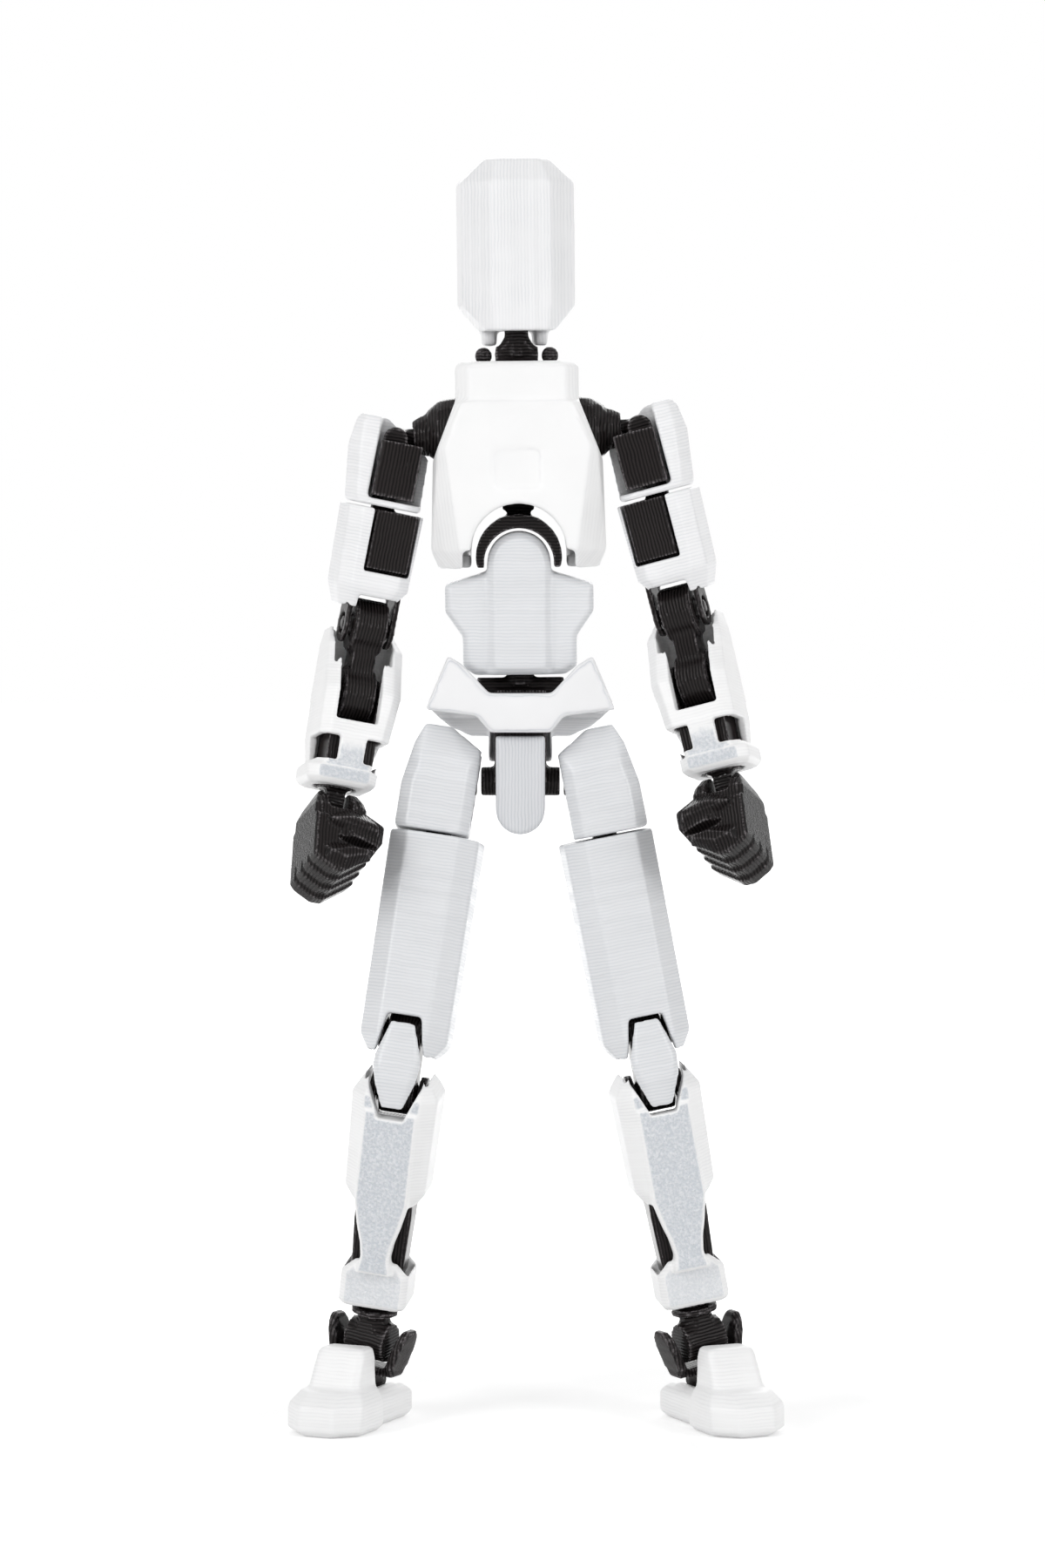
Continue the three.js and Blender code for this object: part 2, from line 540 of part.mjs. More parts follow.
const kneePins = (z) => rodX(knee.pinRadius, about(0, knee.width + 2 * gap + 2 * knee.earThickness), 0,
  z, 12);
const kneeHoles = (z) => rodX(knee.pinRadius + pinGap, [-10, 10], 0, z, 12);

function thighFrame() {
  const t = thigh;
  const width = knee.width + 2 * (gap + knee.earThickness);
  const top = -t.topWall - gap;
  const foot = kneeBelowTurn + knee.discRadius + gap + 0.3;
  const earRadius = knee.discRadius - 0.4;
  const block = box(about(0, width), about(0, 5.0), [foot, top]);
  const post = rodZ(hip.postRadius, [top - 1, hip.floor + 2 * gap + hip.postHeadHeight]);
  const postHead = rodZ(hip.postHeadRadius, [hip.floor + 2 * gap,
    hip.floor + 2 * gap + hip.postHeadHeight]);
  return cut(join(block, post, postHead, ...kneeEars(kneeBelowTurn, foot + 1, earRadius)),
    kneeHoles(kneeBelowTurn));
}

function thighArmour() {
  const t = thigh;
  const bottom = kneeBelowTurn - t.hemDrop;
  const form = armour(
    { z: 0, x: about(0, t.width), y: about(0, t.depth), cut: t.edgeCut },
    { z: bottom + t.hemRise, x: about(0, t.width - 0.2), y: about(0, t.depth - 1.0), cut: t.edgeCut },
    { z: bottom, x: about(0, t.hemWidth), y: about(0, t.depth - 2.4), cut: t.edgeCut * 0.4 });
  const width = knee.width + 2 * (gap + knee.earThickness);
  const room = box(about(0, width + 2 * gap), about(0, 5.0 + 2 * gap), [-40, -t.topWall]);
  const post = rodZ(hip.postRadius + pinGap, [-2, 2]);
  const notch = plate([[-t.notchBottomWidth / 2, bottom - 1], [t.notchBottomWidth / 2, bottom - 1],
    [t.notchTopWidth / 2, kneeBelowTurn + t.notchRise], [-t.notchTopWidth / 2,
    kneeBelowTurn + t.notchRise]], [-10, 0]);
  const backNotch = box(about(0, width + 2 * gap), [0, 10], [-40, kneeBelowTurn + t.backNotchRise]);
  const round = rodX(t.hemDrop, [-10, 10], 0, kneeBelowTurn, 24);
  const lower = cut(box([-10, 10], [0, 10], [-40, kneeBelowTurn]), round);
  return cut(form, room, post, notch, backNotch, lower);
}

function kneeLink() {
  const k = knee;
  const x = about(0, k.width);
  return join(rodX(k.discRadius, x), rodX(k.discRadius, x, 0, -k.span),
    box(x, about(0, k.waistDepth), [-k.span, 0]), kneePins(0), kneePins(-k.span));
}

function kneeCap() {
  const k = knee;
  const top = k.capAbove, bottom = -k.span - k.capBelow, middle = -k.span / 2 - 0.1;
  const front = -k.capFront, back = -k.capFront + k.capThickness;
  const cap = armour(
    { z: top, x: about(0, k.capTopWidth), y: [front + k.capSlope, back], cut: 0.2 },
    { z: middle + 1.0, x: about(0, k.capWidth), y: [front + 0.35, back], cut: 0.5 },
    { z: middle, x: about(0, k.capWidth), y: [front, back], cut: 0.7 },
    { z: middle - 1.6, x: about(0, k.capWidth - 0.5), y: [front, back], cut: 0.7 },
    { z: bottom, x: about(0, k.capBottomWidth), y: [front + k.capSlope, back], cut: 0.2 });
  const stem = box(about(0, 2.0), [back - 0.2, -k.waistDepth / 2 - gap], about(middle, 1.4));
  return join(cap, stem);
}

function shinFrame() {
  const s = shin;
  const foot = -knee.discRadius - gap - 0.2;
  const width = knee.width + 2 * (gap + knee.earThickness);
  const upper = box(about(0, width), about(0, s.frameDepth), [-s.calfBottom, foot]);
  const lower = armour(
    { z: -s.calfBottom + 2.4, x: about(0, width), y: about(0, s.frameDepth), cut: 0.3 },
    { z: -s.calfBottom - 1.6, x: about(0, s.frameWidth), y: about(0, s.frameDepth), cut: 0.3 },
    { z: -s.blockTop - 0.8, x: about(0, s.frameWidth - 0.6), y: about(0, s.frameDepth), cut: 0.3 });
  const post = rodZ(s.postRadius, [-s.blockBottom - gap, -s.blockTop]);
  const bore = rodZ(ankle.postRadius + pinGap, [-30, -s.blockBottom + 2.2]);
  return cut(join(upper, lower, post, ...kneeEars(0, foot - 1, knee.discRadius - 0.4)), kneeHoles(0), bore);
}

function shinArmour() {
  const s = shin;
  const calf = armour(
    { z: s.topRise, x: about(0, s.topWidth), y: about(0, s.depth - 2.4), cut: 1.0 },
    { z: 0.2, x: about(0, s.width), y: about(0, s.depth), cut: s.edgeCut },
    { z: -s.calfBottom + 1.6, x: about(0, s.width - 0.6), y: about(0, s.depth - 0.4), cut: s.edgeCut },
    { z: -s.calfBottom, x: about(0, s.calfHemWidth), y: about(0, s.depth - 1.6), cut: s.edgeCut * 0.7 });
  const frontFace = -s.depth / 2;
  const half = mirrorPoints([[s.stripWidth / 2, -s.panelDrop + 0.9], [s.stripWidth / 2,
    -s.calfBottom + 0.6],
    [s.neckWidth / 2 + 0.75, -s.neckTop], [s.neckWidth / 2 + 0.25, -(s.neckTop + s.neckBottom) / 2],
    [s.neckWidth / 2, -s.neckBottom], [s.neckWidth / 2 + 0.4, -s.blockTop - 0.2]]);
  const strip = plate(half.reverse(), [frontFace - s.stripProud, -s.frameDepth / 2 - gap], 0.25);
  const back = plate([[-s.calfHemWidth / 2, -s.calfBottom + 1], [-s.neckWidth / 2 - 0.6,
    -s.neckBottom], [-s.neckWidth / 2 - 0.6, -s.blockTop],
    [s.neckWidth / 2 + 0.6, -s.blockTop], [s.neckWidth / 2 + 0.6, -s.neckBottom], [s.calfHemWidth / 2,
    -s.calfBottom + 1]],
    [s.frameDepth / 2 + gap, s.frameDepth / 2 + gap + 1.2]);
  const block = armour(
    { z: -s.blockTop + 0.9, x: about(0, s.neckWidth + 1.4), y: about(0, s.blockDepth - 0.6), cut: 0.4 },
    { z: -s.blockTop - 0.5, x: about(0, s.blockWidth), y: about(0, s.blockDepth), cut: s.blockCut },
    { z: -s.blockBottom + 0.5, x: about(0, s.blockWidth), y: about(0, s.blockDepth), cut: s.blockCut },
    { z: -s.blockBottom, x: about(0, s.blockWidth - 0.8), y: about(0, s.blockDepth - 0.8),
      cut: s.blockCut });
  const width = knee.width + 2 * (gap + knee.earThickness) + 2 * gap;
  const depth = s.frameDepth + 2 * gap;
  const wallBack = -knee.discRadius - gap;
  const kneeRoom = box(about(0, width), [wallBack, 20], [-s.panelDrop, 20]);
  const backRoom = box(about(0, width), [0, 20], [-s.panelDrop - 2.5, 20]);
  const capTurn = knee.span / 2 - 1.7;
  const capRoom = plate(mirrorPoints([[knee.capWidth / 2 + gap, 20], [knee.capWidth / 2 + gap, capTurn],
    [knee.capBottomWidth / 2 + 1.5 * gap, -knee.capBelow], [knee.capBottomWidth / 2 + gap,
    -s.panelDrop]]).reverse(),
    [-20, 0]);
  const frameRoom = join(box(about(0, width), about(0, depth), [-s.calfBottom - 2, 20]),
    box(about(0, s.frameWidth + 2 * gap), about(0, depth), [-s.blockTop - 1.1, -s.calfBottom + 2.8]));
  const postRoom = rodZ(s.postRadius + gap, [-40, -s.blockTop]);
  const round = rodX(s.topRise, [-10, 10], 0, 0, 24);
  const upper = cut(box([-10, 10], [0, 10], [0, 20]), round);
  return cut(join(calf, strip, back, block), kneeRoom, backRoom, capRoom, frameRoom, postRoom, upper);
}

function ankleLink() {
  const a = ankle;
  const rise = shin.kneeToAnkle - shin.blockBottom - 2 * gap;
  return join(rodX(a.barrelRadius, about(0, a.barrelLength)),
    armour({ z: 0.4, x: about(0, a.barrelLength - 0.1), y: about(0, 2 * a.barrelRadius - 0.3), cut: 0.9 },
      { z: 1.5, x: about(0, a.barrelLength - 1.0), y: about(0, 2 * a.barrelRadius - 0.8), cut: 1.1 },
      { z: rise - a.flangeHeight, x: about(0, 2 * a.postRadius + 0.4), y: about(0, 2 * a.postRadius + 0.4),
        cut: 0.9 }),
    rodZ(a.postRadius, [0, rise + 2.2]),
    rodZ(a.flangeRadius, [rise - a.flangeHeight, rise]));
}

function ankleClevis() {
  const a = ankle;
  const inner = a.barrelLength / 2 + gap;
  const outer = inner + a.earThickness;
  const low = -a.barrelRadius - gap - a.strapThickness;
  const half = a.earDepth / 2;
  const ear = [[-0.9, a.earRise], [0.9, a.earRise], [half - 0.4, a.earRise - 0.8], [half,
    a.earRise - 2.0], [half, low + 1.2], [half - 0.9, low], [-half + 0.9, low],
    [-half, low + 1.2], [-half, a.earRise - 2.0], [-half + 0.4, a.earRise - 0.8]];
  const ears = [-1, 1].map((s) => sidePlate(ear.reverse() && ear, s < 0 ? [-outer, -inner] : [inner,
    outer], 0.3));
  const strap = box(about(0, 2 * inner + 0.4), about(0, a.earDepth - 0.8), [low, low + a.strapThickness]);
  const keel = rodY(a.keelRadius, about(0, a.keelLength), 0, -a.keelDrop);
  const web = box(about(0, 2 * a.keelRadius), about(0, a.earDepth - 0.8), [-a.keelDrop, low + 0.2]);
  return join(...ears, strap, web, keel);
}

// The foot is written round the ankle's tilting keel, and its sole is flat.
function footShell() {
  const f = foot, a = ankle;
  const sole = -f.ankleHeight;
  const y = [-f.toe, f.heel];
  const lastPlate = armour(
    { z: sole, x: about(0, f.heelWidth - 2 * f.soleCut), y: [y[0] * 0.35, y[1] - f.soleCut], cut: 1.2 },
    { z: sole + f.soleCut, x: about(0, f.heelWidth), y: [y[0] * 0.35, y[1]], cut: 1.4 },
    { z: sole + f.heelHeight - 0.6, x: about(0, f.heelWidth), y: [y[0] * 0.35, y[1]], cut: 1.4 },
    { z: sole + f.heelHeight, x: about(0, f.heelWidth - 1.2), y: [y[0] * 0.35, y[1] - 0.6], cut: 1.4 });
  const toeCap = armour(
    { z: sole, x: about(0, f.toeWidth - 2 * f.soleCut), y: [y[0] + f.soleCut, y[0] * 0.18],
      cut: f.cornerCut },
    { z: sole + f.soleCut, x: about(0, f.toeWidth), y: [y[0], y[0] * 0.18], cut: f.cornerCut },
    { z: sole + f.toeFlank, x: about(0, f.toeWidth), y: [y[0] + 0.3, y[0] * 0.18], cut: f.cornerCut },
    { z: sole + f.toeHeight, x: about(0, f.ballWidth - 1.8), y: [y[0] + 2.4, y[0] * 0.2], cut: 1.6 });
  const clear = -(a.earDepth / 2 + 0.9);
  const instep = armour(
    { z: sole + f.instepTop, x: about(0, f.instepWidth - 0.8), y: [-f.instepFront, clear], cut: 0.4 },
    { z: sole + f.instepTop - 0.6, x: about(0, f.instepWidth), y: [-f.instepFront - 0.4, clear], cut: 0.5 },
    { z: sole + f.toeHeight - 0.8, x: about(0, f.instepWidth + 0.5),
      y: [-f.instepFront - f.instepSlope, clear], cut: 0.6 });
  const saddle = box(about(0, 2 * (a.keelRadius + 1.1)), about(0, a.keelLength - 0.4), [sole + 2,
    -a.keelDrop - 0.3]);
  const keelRoom = rodY(a.keelRadius + gap, [clear + 0.01 - 2, f.heel], 0, -a.keelDrop);
  return cut(join(lastPlate, toeCap, instep, saddle), keelRoom);
}

// Arm pieces, outward = +X, front = -Y.

function clavicleLink() {
  const c = clavicle;
  const bore = rodX(shoulder.neckRadius + pinGap, [c.ballRadius - c.boreDepth, 10]);
  const snout = new ConvexGeometry([[0, c.ballRadius * 0.8], [c.snoutReach - 1.0, c.snoutRadius + 0.5],
    [c.snoutReach, c.snoutRadius]]
    .flatMap(([x, r]) => Array.from({ length: 12 }, (_, i) => {
      const turn = (i + 0.5) / 12 * 2 * Math.PI;
      return new THREE.Vector3(x, r * Math.cos(turn), r * Math.sin(turn));
    })));
  return cut(join(ball(c.ballRadius), snout), bore);
}

function shoulderHinge() {
  const s = shoulder, c = clavicle;
  const tip = -(c.reach - c.ballRadius + c.boreDepth - gap);
  return join(rodX(s.neckRadius, [tip, 0]), rodY(s.knuckleRadius, about(0, s.knuckleLength)));
}

function shoulderFrame() {
  const s = shoulder;
  const block = box([-s.frameInner, s.frameOuter], [-s.frameFront, s.frameBack], [-s.frameBottom,
    -s.frameTop]);
  const inside = [-s.frameFront + s.hingeWall, 10];
  const knuckle = rodY(s.knuckleRadius + gap, inside);
  const neckRoom = box([-10, 0], inside, [-s.neckRadius - 2 * gap, 10]);
  const post = rodZ(s.postRadius + pinGap, [-20,
    -s.turnDrop + gap + s.flangeThickness + s.postLength + gap]);
  return cut(block, knuckle, neckRoom, post);
}

function shoulderArmour() {
  const s = shoulder;
  const y = about(0, s.armourDepth);
  const low = -s.turnDrop + gap;
  const form = armour(
    { z: low, x: [-s.armourInner, s.armourOuter - 0.9], y, cut: s.edgeCut },
    { z: low + s.flangeThickness, x: [-s.armourInner, s.armourOuter - 0.7], y, cut: s.edgeCut },
    { z: -s.frameTop - 1.2, x: [-s.armourInner + 0.2, s.armourOuter], y, cut: s.edgeCut },
    { z: s.armourTop - 0.7, x: [s.crownInner, s.armourOuter - 0.4], y: about(0, s.armourDepth - 1.2),
      cut: s.edgeCut - 0.5 },
    { z: s.armourTop, x: [s.crownInner + 0.6, s.crownOuter], y: about(0, s.armourDepth - 2.4), cut: 0.6 });
  const room = box([-20, s.frameOuter + gap], [-20, s.frameBack + gap], [-s.frameBottom - gap, 20]);
  const knuckle = rodY(s.knuckleRadius + gap, [-20, s.frameBack + gap]);
  const post = rodZ(s.postRadius + pinGap, [-20, 0]);
  return cut(form, room, knuckle, post);
}

// The upper arm is written round its turning joint under the shoulder armour.
function elbowEars(z, reach) {
  const e = elbow;
  const inner = e.width / 2 + gap;
  return [-1, 1].flatMap((s) => {
    const x = s < 0 ? [-inner - e.earThickness, -inner] : [inner, inner + e.earThickness];
    return [rodX(e.earRadius, x, 0, z), box(x, about(0, 2 * e.earRadius * 0.9), z < reach ? [z,
      reach] : [reach, z])];
  });
}
const elbowPins = (z) => rodX(elbow.pinRadius, about(0,
  elbow.width + 2 * gap + 2 * elbow.earThickness), 0, z, 12);
const elbowHoles = (z) => rodX(elbow.pinRadius + pinGap, [-6, 6], 0, z, 12);

function upperArmFrame() {
  const u = upperArm, s = shoulder;
  const low = -u.turnToElbow + elbow.discRadius + gap + 0.3;
  const block = box([-u.frameInner, u.frameOuter], [-s.frameFront, s.frameBack], [-u.frameLength, 0]);
  const post = rodZ(s.postRadius, [-1, gap + s.flangeThickness + s.postLength]);
  const half = elbow.width / 2 + gap + elbow.earThickness;
  const yoke = box(about(-u.elbowInset, 2 * half), [-1.6, s.frameBack], [low, -u.frameLength + 0.4]);
  const ears = elbowEars(-u.turnToElbow, low + 0.8).map((g) => g.translate(-u.elbowInset, 0, 0));
  return cut(join(block, post, yoke, ...ears), elbowHoles(-u.turnToElbow).translate(-u.elbowInset, 0, 0));
}

function upperArmArmour() {
  const u = upperArm, s = shoulder;
  const y = about(0, u.armourDepth);
  const form = armour(
    { z: 0, x: [-u.armourInner, u.armourOuter], y, cut: u.edgeCut },
    { z: -u.armourLength + u.hemRise, x: [-u.armourInner + 0.1, u.armourOuter - 0.3], y, cut: u.edgeCut },
    { z: -u.armourLength, x: [-u.hemInner, u.hemOuter], y: about(0.3, u.armourDepth - 1.4),
      cut: u.edgeCut });
  const room = box([-u.frameInner - gap, u.frameOuter + gap], [-20, s.frameBack + gap],
    [-u.frameLength - gap, 20]);
  const half = elbow.width / 2 + 2 * gap + elbow.earThickness;
  const yokeRoom = box(about(-u.elbowInset, 2 * half), [-s.frameBack - 0.6, s.frameBack + gap], [-20,
    -u.frameLength + 1]);
  const overElbow = -u.turnToElbow + elbow.discRadius + gap;
  const notch = box(about(-u.elbowInset, elbow.width + 2 * gap), [-20, 20], [-20, overElbow]);
  return cut(form, room, yokeRoom, notch);
}

function elbowLink() {
  const e = elbow;
  const x = about(0, e.width);
  return join(rodX(e.discRadius, x), rodX(e.discRadius, x, 0, -e.span),
    box(about(0, e.waistWidth), about(0, e.waistDepth), [-e.span, 0]), elbowPins(0), elbowPins(-e.span));
}

function forearmFrame() {
  const f = forearm;
  const top = -elbow.discRadius - gap - 0.2;
  const block = box(about(f.middle + 0.3, f.frameWidth - 0.4), [-2.9, 2.3], [-f.cuffTop - 0.2,
    -f.frameTop]);
  const yoke = box(about(0, elbow.width + 2 * (gap + elbow.earThickness)), about(0, 4),
    [-f.frameTop - 0.5, top]);
  const bore = rodZ(wrist.postRadius - 0.6, [-20, -f.windowTop], f.cuffMiddle, 0, 12);
  return cut(join(block, yoke, ...elbowEars(0, top - 0.4)), elbowHoles(0), bore);
}

function forearmShell() {
  const f = forearm;
  const x = about(f.middle, f.width);
  const y = [-f.depth / 2, f.depth / 2 + 0.4];
  const channel = armour(
    { z: f.top, x: [x[0] + 0.9, x[1] - 0.5], y: [0.6, y[1]], cut: 0.6 },
    { z: f.top - f.topSlope - 0.6, x: [x[0], x[1] - 0.1], y: [-1.8, y[1]], cut: f.edgeCut },
    { z: 0, x, y, cut: f.edgeCut },
    { z: -f.windowTop, x: [x[0] + 0.6, x[1]], y, cut: f.edgeCut },
    { z: -f.windowBottom - 0.4, x: [x[0] + 1.5, x[1] - 0.3], y: [y[0] + 0.5, y[1] - 0.8], cut: f.edgeCut });
  const cuff = armour(
    { z: -f.cuffTop, x: about(f.cuffMiddle, f.cuffWidth - 1.0), y: about(0, f.cuffDepth - 1.0),
      cut: f.cuffCut },
    { z: -f.cuffTop - 0.6, x: about(f.cuffMiddle, f.cuffWidth), y: about(0, f.cuffDepth), cut: f.cuffCut },
    { z: -f.cuffBottom + 0.6, x: about(f.cuffMiddle, f.cuffWidth), y: about(0, f.cuffDepth),
      cut: f.cuffCut },
    { z: -f.cuffBottom, x: about(f.cuffMiddle, f.cuffWidth - 1.0), y: about(0, f.cuffDepth - 1.0),
      cut: f.cuffCut });
  const half = elbow.width / 2 + 2 * gap + elbow.earThickness;
  const slotHalf = elbow.width / 2 + gap;
  const slot = box([-slotHalf, slotHalf + 0.3], [-20, elbow.discRadius + gap], [-f.slotBottom, 20]);
  const frameRoom = box(about(f.middle + 0.3, f.frameWidth - 0.4 + 2 * gap), [-3.2, 2.6], [-f.cuffTop - 0.5,
    -f.frameTop + gap]);
  const yokeRoom = box([-half, half], [-2.6, 2.6], [-f.frameTop - 1, 20]);
  const windows = [[f.middle - 20, -f.strutFrom], [f.strutTo, f.middle + 20]].map((w) =>
    box(w, [-20, 1.2], [-f.windowBottom, -f.windowTop]));
  const post = rodZ(wrist.postRadius + pinGap, [-20, -f.cuffTop], f.cuffMiddle, 0, 16);
  return cut(join(channel, cuff), slot, frameRoom, yokeRoom, ...windows, post);
}

// The wrist link turns in the cuff and carries the hand on an eye.
function wristLink() {
  const w = wrist;
  return join(rodZ(w.postRadius, [-0.2, w.postHeight]), rodX(w.eyeRadius, about(0, w.eyeWidth), 0,
    -w.pivotDrop, 12),
    box(about(0, w.eyeWidth), about(0, 2 * w.eyeRadius), [-w.pivotDrop, 0]));
}

function handFist() {
  const h = hand;
  const out = h.palmWidth / 2;
  const depth = h.fingers * h.fingerDepth;
  const finger = (i) => {
    const low = i * h.fingerStep;
    const y = [-depth / 2 + i * h.fingerDepth, -depth / 2 + (i + 1) * h.fingerDepth];
    return plate([[out, -2.8], [-out + 0.9, -2.8], [-h.tipReach + 0.6, -4.2], [-h.tipReach, -5.2],
      [-h.tipReach, -h.tipDrop + 0.6 - low], [-h.tipReach + 0.7, -h.tipDrop - low], [-0.6,
      -h.fingerDrop - low],
      [0.6, -h.fingerDrop - low], [out - 0.5, -h.knuckleDrop - low], [out, -h.knuckleDrop + 0.6 - low]],
    i === 0 ? y : [y[0] - 0.02, y[1]], h.groove);
  };
  const palm = armour(
    { z: h.palmTop, x: [-out + 0.2, out - 1.2], y: about(0, 1.6), cut: 0.3 },
    { z: -0.5, x: [-out + 0.1, out - 0.4], y: about(0, depth - 2.2), cut: 0.5 },
    { z: -1.6, x: about(0, h.palmWidth), y: about(0, depth - 0.6), cut: 0.5 },
    { z: -h.knuckleDrop + 1, x: [-out + 0.4, out], y: about(0, depth - 0.6), cut: 0.4 });
  const front = -depth / 2 - h.thumbProud, behind = -depth / 2 + h.thumbDepth;
  const thumb = armour(
    { z: -h.thumbTop, x: [-out + 0.5, 0.8], y: [-depth / 2 + 0.6, behind], cut: 0.3 },
    { z: -h.thumbTop - 1.8, x: [-h.thumbReach, 0.6], y: [front, behind], cut: 0.5 },
    { z: -h.thumbBottom + 1.3, x: [-h.thumbReach + 0.1, -out + 1.9], y: [front, behind], cut: 0.5 },
    { z: -h.thumbBottom, x: [-h.thumbReach + 0.9, -out + 1.6], y: [front + 0.5, behind - 0.4], cut: 0.2 });
  const slot = box(about(0, wrist.eyeWidth + 2 * gap), about(0, 20), [-wrist.eyeRadius - 2 * gap, 20]);
  return cut(join(palm, thumb, ...Array.from({ length: h.fingers }, (_, i) => finger(i))), slot);
}

// Assembly: from the pelvis up to the head.
const upright = aim(1, 0, 0);
const lean = new THREE.Quaternion().setFromAxisAngle(new THREE.Vector3(0, 1, 0),
  THREE.MathUtils.degToRad(stance.lean));

const pelvisBody = body(new THREE.Vector3(), upright);
addMesh(pelvisBody, "pelvis_front", pelvisFrontPlate(), white);
addMesh(pelvisBody, "pelvis_back", pelvisBackShell(), white);
addMesh(pelvisBody, "pelvis_core", pelvisCore(), black);
addMesh(pelvisBody, "groin_plate", groinPlate(), white);

const waistBody = body(place(pelvisBody, 0, 0, hipToWaist), lean);
addMesh(waistBody, "waist_bar", waistBar(), black);

const abdomenBody = body(place(waistBody, 0, 0, 0), lean);
addMesh(abdomenBody, "abdomen_shell", abdomenShell().translate(0, 0, waistToDome), white);
addMesh(abdomenBody, "abdomen_core", abdomenCore().translate(0, 0, waistToDome), black);

const diaphragmBody = body(place(abdomenBody, 0, 0, waistToDome), lean);
addMesh(diaphragmBody, "diaphragm_socket", diaphragmSocket(), black);

const chestBody = body(place(diaphragmBody, 0, 0, diaphragm.hingeRise), lean);
addMesh(chestBody, "chest_front", chestShell(true), white);
addMesh(chestBody, "chest_back", chestShell(false), white);
addMesh(chestBody, "chest_core", chestCore(), black);

const neckBody = body(place(chestBody, 0, 0, domeToNeck - diaphragm.hingeRise), lean);
addMesh(neckBody, "neck_link", neckLink(), black);

const headBody = body(place(neckBody, 0, 0, neck.rise),
  lean.clone().multiply(new THREE.Quaternion().setFromAxisAngle(new THREE.Vector3(0, 0, 1),
    THREE.MathUtils.degToRad(stance.headTurn))));
addMesh(headBody, "head_shell", headShell(), white);

const trunk = [[figure, pelvisBody], [pelvisBody, waistBody], [waistBody, abdomenBody], [abdomenBody,
  diaphragmBody],
  [diaphragmBody, chestBody], [chestBody, neckBody], [neckBody, headBody]];

// A leg's joints, for a knee bent by an angle: the thigh swings forward and both hinges fold back alike.
function legTurns(p, bend) {
  const hipTurn = aim(p.side, bend, p.legOut);
  const thighTurn = turned(hipTurn, Z, p.side * stance.legTurn);
  const kneeTurn = turned(thighTurn, X, bend);
  return { hipTurn, thighTurn, kneeTurn, shinTurn: turned(kneeTurn, X, bend) };
}
function legDrop(p, bend) {
  const turns = legTurns(p, bend);
  const down = (quaternion, length) => new THREE.Vector3(0, 0, length).applyQuaternion(quaternion).z;
  return down(turns.thighTurn, thigh.hipToKnee) + down(turns.kneeTurn, knee.span)
    + down(turns.shinTurn, shin.kneeToAnkle);
}
// Both feet stand on the floor: the leg that would reach lower bends its knee until they are level.
function kneeBend(p, other) {
  const target = Math.min(legDrop(p, 0), legDrop(other, 0));
  let low = 0, high = 40;
  for (let i = 0; i < 50; i++) {
    const middle = (low + high) / 2;
    if (legDrop(p, middle) > target) low = middle;
    else high = middle;
  }
  return low;
}

function addLeg(which, p, other) {
  const s = p.side;
  const bend = kneeBend(p, other);
  const { hipTurn, thighTurn, kneeTurn, shinTurn } = legTurns(p, bend);
  const name = (piece) => `${which}_${piece}`;
  const hipPoint = place(pelvisBody, s * pelvis.hipSpread / 2, 0, 0);

  const linkBody = body(hipPoint, aim(s, bend, 0));
  addMesh(linkBody, name("hip_link"), hipLink(), black, s);
  const hipBody = body(hipPoint, hipTurn);
  addMesh(hipBody, name("hip_armour"), hipArmour(), white, s);

  const thighBody = body(place(hipBody, 0, 0, thighTop), thighTurn);
  addMesh(thighBody, name("thigh_frame"), thighFrame(), black, s);
  addMesh(thighBody, name("thigh_armour"), thighArmour(), white, s);

  const kneeBody = body(place(thighBody, 0, 0, kneeBelowTurn), kneeTurn);
  addMesh(kneeBody, name("knee_link"), kneeLink(), black, s);
  addMesh(kneeBody, name("kneecap"), kneeCap(), white, s);

  const shinBody = body(place(kneeBody, 0, 0, -knee.span), shinTurn);
  addMesh(shinBody, name("shin_frame"), shinFrame(), black, s);
  addMesh(shinBody, name("shin_armour"), shinArmour(), white, s);

  const ankleBody = body(place(shinBody, 0, 0, -shin.kneeToAnkle), turned(shinTurn, Z,
    s * stance.footTurn));
  addMesh(ankleBody, name("ankle_link"), ankleLink(), black, s);

  // The clevis pitches on the barrel and the foot rolls on the clevis until its sole lies flat.
  const flat = aim(s, 0, 0, stance.legTurn + stance.footTurn);
  const back = ankleBody.quaternion.clone().invert().multiply(flat);
  const angles = new THREE.Euler().setFromQuaternion(back, "XYZ");
  const pitch = new THREE.Quaternion().setFromAxisAngle(new THREE.Vector3(1, 0, 0), angles.x);
  const clevisBody = body(ankleBody.position, ankleBody.quaternion.clone().multiply(pitch));
  addMesh(clevisBody, name("ankle_clevis"), ankleClevis(), black, s);

  const footBody = body(place(clevisBody, 0, 0, -ankle.keelDrop), flat);
  addMesh(footBody, name("foot"), footShell().translate(0, 0, ankle.keelDrop), white, s);

  return [[pelvisBody, linkBody], [linkBody, hipBody], [hipBody, thighBody], [thighBody, kneeBody],
    [kneeBody, shinBody], [shinBody, ankleBody], [ankleBody, clevisBody], [clevisBody, footBody]];
}

